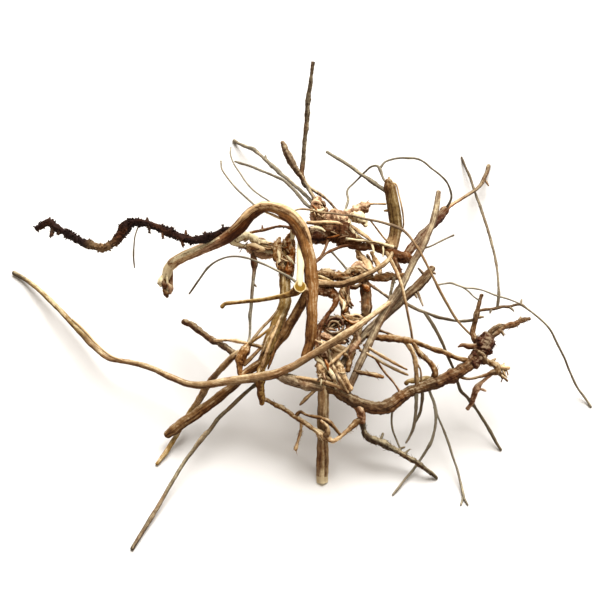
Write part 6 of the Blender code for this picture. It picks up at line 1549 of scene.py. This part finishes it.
def bark_material(name, streak, patch, bump, contrast, mottle, worn_and_lit_weight, depth, warm, roughness):
    """Root bark: long streaks, blotches, dark cracks, worn pale ridges, a painted highlight on the
    upper side and painted shade on the lower side.

    streak, patch and bump are sizes in mm. contrast is how strong the pattern is, mottle how
    strongly the bark is pitted with dark and pale spots, worn_and_lit_weight how much paler the
    upper side is painted and how much darker the lower side, partly for wear and partly as painted
    highlight and painted shade, depth how dark the bark is on the whole, warm how much of the
    orange inner bark shows.
    """
    colours = bpy.context.scene.root_colours
    material, tree, shader = new_material(name)
    add = functools.partial(add_node, tree)
    place = add("ShaderNodeAttribute", attribute_name="bark_place")["Vector"]
    tint = add("ShaderNodeAttribute", attribute_name="tint")["Color"]
    ridge = add("ShaderNodeAttribute", attribute_name="ridge")["Fac"]
    half = add("ShaderNodeAttribute", attribute_name="half")["Fac"]
    # Painted light: the side facing upwards and a little to the back, near the key light, is painted paler,
    # partly for wear and partly as a painted highlight; the side facing away is painted darker, as painted
    # shade
    normal = add("ShaderNodeNewGeometry")["Normal"]
    worn_and_lit = add(VECTOR_MATH, (normal, WORN_AND_LIT_SIDE), operation="DOT_PRODUCT")["Value"]
    worn_and_lit = add(MATH, (worn_and_lit, 0.0), operation="MAXIMUM")[0]
    worn_and_lit = add(MATH, (worn_and_lit, WORN_AND_LIT_MIDDLE), operation="SUBTRACT")[0]

    # Patterns of noise: how many times as long as wide, how many per mm, detail, roughness. Fibres
    # and threads are finer on a real root, and are drawn as coarse as they need to show
    patterns = []
    for drawn, per_mm, detail, rough in (
        (40.0, 1 / streak, 3.0, 0.6),
        (60.0, 4.0 / streak, 2.0, 0.6),
        (2.0, 1 / patch, 4.0, 0.6),
        (2.5, 2.2 / streak, 3.0, 0.7),
        (1.7, 0.85, 3.0, 0.6),
        (3.0, 0.6 / patch, 2.0, 0.5),
    ):
        where = add(VECTOR_MATH, (place, (1.0, 1.0, 1 / drawn)), operation="MULTIPLY")[0]
        inputs = {"Vector": where, "Scale": per_mm, "Detail": detail, "Roughness": rough}
        value = add(NOISE, inputs)[0]
        patterns.append(add(MATH, (value, 0.5), operation="SUBTRACT")[0])
    fibres, threads, patches, specks, spots, warmth = patterns

    # Each pattern lightens and darkens the bark by its weight. Fibres show less on a thin strand
    thickness = add(MAP_RANGE, {"Value": half, "From Min": 0.0, "From Max": FIBRE_HALF * MM})[0]
    thickness = add(MATH, (thickness, 1.0 - FIBRE_LEAST), operation="MULTIPLY")[0]
    thickness = add(MATH, (thickness, FIBRE_LEAST), operation="ADD")[0]
    fibre_share = add(MATH, (thickness, 1.7 * contrast), operation="MULTIPLY")[0]
    level = add(MATH, (fibres, fibre_share), operation="MULTIPLY")[0]
    for pattern, weight in (
        (threads, 1.5 * contrast),
        (patches, 1.1 * contrast),
        (specks, 0.9 * contrast),
        (spots, 3.4 * mottle),
        (ridge, 0.6 * contrast),
        # the upper side painted paler and the lower side painted darker: wear and painted light
        (worn_and_lit, worn_and_lit_weight),
    ):
        weighed = add(MATH, (pattern, weight), operation="MULTIPLY")[0]
        level = add(MATH, (level, weighed), operation="ADD")[0]
    level = add(MATH, (level, depth), operation="SUBTRACT")[0]

    # From dark cracks and the painted shade of the lower side, over the skin, in places with inner bark,
    #     to worn ridges and the painted highlight of the upper side, which grow paler where the tint is pale
    inner = add(MAP_RANGE, {"Value": warmth, "From Min": 0.0, "From Max": 0.25})[0]
    inner = add(MATH, (inner, warm), operation="MULTIPLY")[0]
    inputs = {0: inner, 6: tint, 7: (*colours.rust, 1.0)}
    skin = add(MIX, inputs, data_type="RGBA")[2]
    inputs = {0: 1.0, 6: skin, 7: (*colours.crevice_and_shade, 1.0)}
    dark = add(MIX, inputs, data_type="RGBA", blend_type="MULTIPLY")[2]
    lightness = add("ShaderNodeRGBToBW", {"Color": tint})[0]
    pale_share = add(MAP_RANGE, {"Value": lightness, "From Min": 0.03, "From Max": 0.2})[0]
    pale_share = add(MATH, (pale_share, 0.48), operation="MULTIPLY")[0]
    pale_share = add(MATH, (pale_share, 0.2), operation="ADD")[0]
    inputs = {0: pale_share, 6: skin, 7: (*colours.bleach_and_highlight, 1.0)}
    pale = add(MIX, inputs, data_type="RGBA")[2]
    skin_share = add(MAP_RANGE, {"Value": level, "From Min": -0.9, "From Max": 0.05})[0]
    lower = add(MIX, {0: skin_share, 6: dark, 7: skin}, data_type="RGBA")[2]
    worn_and_lit_share = add(MAP_RANGE, {"Value": level, "From Min": 0.2, "From Max": 1.0})[0]
    base = add(MIX, {0: worn_and_lit_share, 6: lower, 7: pale}, data_type="RGBA")[2]
    relief = add(MATH, (threads, 1.2), operation="MULTIPLY")[0]
    relief = add(MATH, (relief, specks), operation="ADD")[0]
    normal = add("ShaderNodeBump", {"Strength": 0.7, "Distance": bump * MM, "Height": relief})[0]
    inputs = {"Base Color": base, "Normal": normal, "Roughness": roughness, "Specular IOR Level": DULL}
    connect(tree, shader, inputs)
    return material


def end_grain_material(name, ring, roughness):
    """A cut face: golden heart with rings of growth, pale sapwood rim.

    ring is how far apart the rings are, as a share of the radius. The pores are drawn coarser
    than real ones, so that they show.
    """
    colours = bpy.context.scene.root_colours
    material, tree, shader = new_material(name)
    add = functools.partial(add_node, tree)
    across = add("ShaderNodeAttribute", attribute_name="share_out")["Vector"]
    pores = add(NOISE, {"Vector": across, "Scale": 5.0, "Detail": 3.0})[0]
    out = add(VECTOR_MATH, (across,), operation="LENGTH")["Value"]
    uneven = add(MATH, (pores, 0.5), operation="SUBTRACT")[0]
    uneven = add(MATH, (uneven, 0.5), operation="MULTIPLY")[0]
    out = add(MATH, (out, uneven), operation="ADD")[0]
    rings = add(MATH, (out, math.tau / ring), operation="MULTIPLY")[0]
    rings = add(MATH, (rings,), operation="SINE")[0]
    rings = add(MATH, (rings, 0.5), operation="MULTIPLY")[0]
    rings = add(MATH, (rings, 0.5), operation="ADD")[0]
    early = (*[c * 0.7 for c in colours.end_grain], 1.0)
    late = (*[c * 1.25 for c in colours.end_grain], 1.0)
    wood = add(MIX, {0: rings, 6: early, 7: late}, data_type="RGBA")[2]
    rim = add(MAP_RANGE, {"Value": out, "From Min": 0.8, "From Max": 0.95})[0]
    base = add(MIX, {0: rim, 6: wood, 7: (*colours.sapwood, 1.0)}, data_type="RGBA")[2]
    normal = add("ShaderNodeBump", {"Strength": 0.5, "Distance": 0.2 * MM, "Height": pores})[0]
    inputs = {"Base Color": base, "Normal": normal, "Roughness": roughness, "Specular IOR Level": DULL}
    connect(tree, shader, inputs)
    return material


# How the barks and the bared wood differ
BARKS = {
    # Thick dried root bark: dull, finely wrinkled along the root, pale on its worn ridges, with a painted
    # highlight on its upper side and painted shade on its lower side
    "dried root bark": dict(
        streak=1.0, patch=3.0, bump=0.3, contrast=1.4, mottle=0.35, worn_and_lit_weight=1.15, depth=0.0,
        warm=0.35, roughness=0.8,
    ),
    # Knobbly bark of old roots: pitted with dark and pale spots
    "knobbly bark": dict(
        streak=1.1, patch=2.5, bump=0.35, contrast=1.1, mottle=0.6, worn_and_lit_weight=1.4, depth=0.1,
        warm=0.3, roughness=0.85,
    ),
    # Dark bark of the crown, shaggy and blotched, with little wear and only faint painted highlight and
    # shade
    "dark fibrous bark": dict(
        streak=0.8, patch=2.0, bump=0.3, contrast=1.1, mottle=0.8, worn_and_lit_weight=0.4, depth=0.0,
        warm=0.6, roughness=0.85,
    ),
    # Dark, damp-looking bark with a faint gloss
    "dark warty bark": dict(
        streak=0.9, patch=2.5, bump=0.25, contrast=0.6, mottle=0.3, worn_and_lit_weight=0.4, depth=0.35,
        warm=0.25, roughness=0.75,
    ),
    # Thin skin of wiry rootlets: smoother, with longer streaks
    "thin rootlet skin": dict(
        streak=0.7, patch=4.0, bump=0.12, contrast=1.0, mottle=0.15, worn_and_lit_weight=0.7, depth=0.1,
        warm=0.1, roughness=0.7,
    ),
    # Wood with its bark peeled off: pale, smooth, with long fine fibres
    "peeled root wood": dict(
        streak=0.5, patch=4.5, bump=0.12, contrast=0.6, mottle=0.0, worn_and_lit_weight=0.7, depth=-0.1,
        warm=0.2, roughness=0.65,
    ),
}
# Sawn or snapped ends: open pores, dull
CUT_WOOD = dict(ring=0.22, roughness=0.75)


def finish(name):
    """The material of this name, made when it is first asked for."""
    if name in bpy.data.materials:
        return bpy.data.materials[name]
    if name in BARKS:
        return bark_material(name, **BARKS[name])
    return end_grain_material(name, **CUT_WOOD)


class ROOTCLUMP_OT_long_root(bpy.types.Operator):
    """Grows the long pale root with the sliver that peels off it"""

    bl_idname = "rootclump.long_root"
    bl_label = "Long root"

    def execute(self, context):
        grow("long_root", LONG_ROOT, "tan", "dried root bark", knots=0.25)
        return {"FINISHED"}


class ROOTCLUMP_OT_loop_root(bpy.types.Operator):
    """Grows the thick looped root with its rib and its torn end"""

    bl_idname = "rootclump.loop_root"
    bl_label = "Looped root"

    def execute(self, context):
        grow("loop_root", LOOP_ROOT, "amber", "dried root bark", knots=0.3, ridges=1.7, seed=2)
        return {"FINISHED"}


class ROOTCLUMP_OT_dark_root(bpy.types.Operator):
    """Grows the dark root, thick with buds"""

    bl_idname = "rootclump.dark_root"
    bl_label = "Dark root"

    def execute(self, context):
        grow("dark_root", DARK_ROOT, "black_brown", "dark warty bark", knots=0.9, buds=1.0, seed=3)
        return {"FINISHED"}


class ROOTCLUMP_OT_crown(bpy.types.Operator):
    """Grows the dark strands and knots of the crown"""

    bl_idname = "rootclump.crown"
    bl_label = "Crown"

    def execute(self, context):
        grow("crown", CROWN, "dark_brown", "dark fibrous bark", knots=0.8, buds=0.12, seed=4)
        return {"FINISHED"}


class ROOTCLUMP_OT_knuckles(bpy.types.Operator):
    """Grows the pale knuckles and bared strands"""

    bl_idname = "rootclump.knuckles"
    bl_label = "Knuckles"

    def execute(self, context):
        grow("knuckles", KNUCKLES, "straw", "knobbly bark", knots=0.6, seed=5)
        return {"FINISHED"}


class ROOTCLUMP_OT_heart(bpy.types.Operator):
    """Grows the short strands and knots that fill the crown"""

    bl_idname = "rootclump.heart"
    bl_label = "Heart"

    def execute(self, context):
        grow("heart", {**HEART, **mat_routes()}, "tan", "knobbly bark", knots=0.8, seed=13)
        return {"FINISHED"}


class ROOTCLUMP_OT_splayed_roots(bpy.types.Operator):
    """Grows the roots that splay to the lower left"""

    bl_idname = "rootclump.splayed_roots"
    bl_label = "Splayed roots"

    def execute(self, context):
        grow("splayed_roots", SPLAYED_ROOTS, "brown", "dried root bark", knots=0.3, seed=6)
        return {"FINISHED"}


class ROOTCLUMP_OT_slanted_roots(bpy.types.Operator):
    """Grows the roots that slant up to the right"""

    bl_idname = "rootclump.slanted_roots"
    bl_label = "Slanted roots"

    def execute(self, context):
        grow("slanted_roots", SLANTED_ROOTS, "brown", "dried root bark", knots=0.4, seed=7)
        return {"FINISHED"}


class ROOTCLUMP_OT_rhizome(bpy.types.Operator):
    """Grows the thick knobbly rhizome"""

    bl_idname = "rootclump.rhizome"
    bl_label = "Rhizome"

    def execute(self, context):
        grow("rhizome", RHIZOME, "umber", "dried root bark", knots=0.5, seed=8)
        return {"FINISHED"}


class ROOTCLUMP_OT_front_roots(bpy.types.Operator):
    """Grows the roots in front and the tall twig"""

    bl_idname = "rootclump.front_roots"
    bl_label = "Front roots"

    def execute(self, context):
        grow("front_roots", FRONT_ROOTS, "brown", "knobbly bark", knots=0.6, seed=9)
        return {"FINISHED"}


class ROOTCLUMP_OT_side_roots(bpy.types.Operator):
    """Grows the middling side roots"""

    bl_idname = "rootclump.side_roots"
    bl_label = "Side roots"

    def execute(self, context):
        grow("side_roots", SIDE_ROOTS, "brown", "knobbly bark", knots=0.6, seed=10)
        return {"FINISHED"}


class ROOTCLUMP_OT_rootlets(bpy.types.Operator):
    """Grows the wiry rootlets"""

    bl_idname = "rootclump.rootlets"
    bl_label = "Rootlets"

    def execute(self, context):
        grow("rootlets", ROOTLETS, "slate", "thin rootlet skin", knots=0.35, seed=11)
        return {"FINISHED"}


class ROOTCLUMP_OT_stem(bpy.types.Operator):
    """Grows the cut stem"""

    bl_idname = "rootclump.stem"
    bl_label = "Stem"

    def execute(self, context):
        grow("stem", STEM, "brown", "dried root bark", knots=0.3, seed=12)
        return {"FINISHED"}


# The floor, in metres from its middle, and its matt white paper, which is faintly cloudy
FLOOR_REACH = 4.0
FLOOR_CORNERS = ((-1, -1), (1, -1), (1, 1), (-1, 1))
PAPER_CLOUDS = 9.0
PAPER_DIM = 0.97
PAPER_ROUGHNESS = 0.9


class ROOTCLUMP_OT_stage(bpy.types.Operator):
    """Sets the floor, the lights and the camera"""

    bl_idname = "rootclump.stage"
    bl_label = "Stage"

    def execute(self, context):
        scene = context.scene
        settings = scene.root_stage
        material, tree, shader = new_material("matt white paper")
        place = add_node(tree, "ShaderNodeTexCoord")["Object"]
        cloud = add_node(tree, NOISE, {"Vector": place, "Scale": PAPER_CLOUDS, "Detail": 1.0})[0]
        dim = (*[c * PAPER_DIM for c in settings.floor], 1.0)
        shade = add_node(tree, MIX, {0: cloud, 6: dim, 7: (*settings.floor, 1.0)}, data_type="RGBA")[2]
        connect(tree, shader, {"Base Color": shade, "Roughness": PAPER_ROUGHNESS})
        mesh = bpy.data.meshes.new("floor")
        corners = [(x * FLOOR_REACH, y * FLOOR_REACH, 0.0) for x, y in FLOOR_CORNERS]
        mesh.from_pydata(corners, [], [(0, 1, 2, 3)])
        mesh.materials.append(material)
        floor = bpy.data.objects.new("floor", mesh)
        scene.collection.objects.link(floor)
        sun = bpy.data.lights.new("key", "SUN")
        sun.energy = settings.key_power
        sun.angle = settings.key_softness
        sun.color = settings.key_colour
        key = bpy.data.objects.new("key", sun)
        key.rotation_euler = Vector(settings.key_direction).to_track_quat("Z", "Y").to_euler()
        scene.collection.objects.link(key)
        world = bpy.data.worlds.new("studio")
        world.use_nodes = True
        background = world.node_tree.nodes["Background"]
        background.inputs["Color"].default_value = (*settings.sky_colour, 1.0)
        background.inputs["Strength"].default_value = settings.sky_power
        scene.world = world
        scene.view_settings.view_transform = "Standard"
        data = bpy.data.cameras.new("camera")
        data.angle = 2 * math.atan(VIEW_MIDDLE * PIXEL / VIEW_DISTANCE)
        camera = bpy.data.objects.new("camera", data)
        camera.location = EYE * MM
        camera.rotation_euler = (math.pi / 2 - VIEW_TILT, 0.0, 0.0)
        scene.collection.objects.link(camera)
        scene.camera = camera
        return {"FINISHED"}


OPERATORS = (
    ROOTCLUMP_OT_long_root,
    ROOTCLUMP_OT_loop_root,
    ROOTCLUMP_OT_dark_root,
    ROOTCLUMP_OT_crown,
    ROOTCLUMP_OT_knuckles,
    ROOTCLUMP_OT_heart,
    ROOTCLUMP_OT_splayed_roots,
    ROOTCLUMP_OT_slanted_roots,
    ROOTCLUMP_OT_rhizome,
    ROOTCLUMP_OT_front_roots,
    ROOTCLUMP_OT_side_roots,
    ROOTCLUMP_OT_rootlets,
    ROOTCLUMP_OT_stem,
    ROOTCLUMP_OT_stage,
)


class ROOTCLUMP_PT_panel(bpy.types.Panel):
    """Sizes, colours and steps of the root clump"""

    bl_idname = "ROOTCLUMP_PT_panel"
    bl_label = "Root clump"
    bl_space_type = "VIEW_3D"
    bl_region_type = "UI"
    bl_category = "Root clump"

    def draw(self, context):
        for group in (context.scene.root_sizes, context.scene.root_colours, context.scene.root_stage):
            column = self.layout.column()
            for key in group.__annotations__:
                column.prop(group, key)
        for operator in OPERATORS:
            self.layout.operator(operator.bl_idname)


GROUPS = {"root_sizes": BarkSizes, "root_colours": BarkColours, "root_stage": StageSettings}


def register():
    for group in GROUPS.values():
        bpy.utils.register_class(group)
    for name, group in GROUPS.items():
        setattr(bpy.types.Scene, name, bpy.props.PointerProperty(type=group))
    for operator in OPERATORS:
        bpy.utils.register_class(operator)
    bpy.utils.register_class(ROOTCLUMP_PT_panel)


def unregister():
    bpy.utils.unregister_class(ROOTCLUMP_PT_panel)
    for operator in reversed(OPERATORS):
        bpy.utils.unregister_class(operator)
    for name, group in reversed(GROUPS.items()):
        delattr(bpy.types.Scene, name)
        bpy.utils.unregister_class(group)


def main():
    register()
    bpy.ops.rootclump.long_root()
    bpy.ops.rootclump.loop_root()
    bpy.ops.rootclump.dark_root()
    bpy.ops.rootclump.crown()
    bpy.ops.rootclump.knuckles()
    bpy.ops.rootclump.heart()
    bpy.ops.rootclump.splayed_roots()
    bpy.ops.rootclump.slanted_roots()
    bpy.ops.rootclump.rhizome()
    bpy.ops.rootclump.front_roots()
    bpy.ops.rootclump.side_roots()
    bpy.ops.rootclump.rootlets()
    bpy.ops.rootclump.stem()
    bpy.ops.rootclump.stage()


if __name__ == "__main__":
    main()
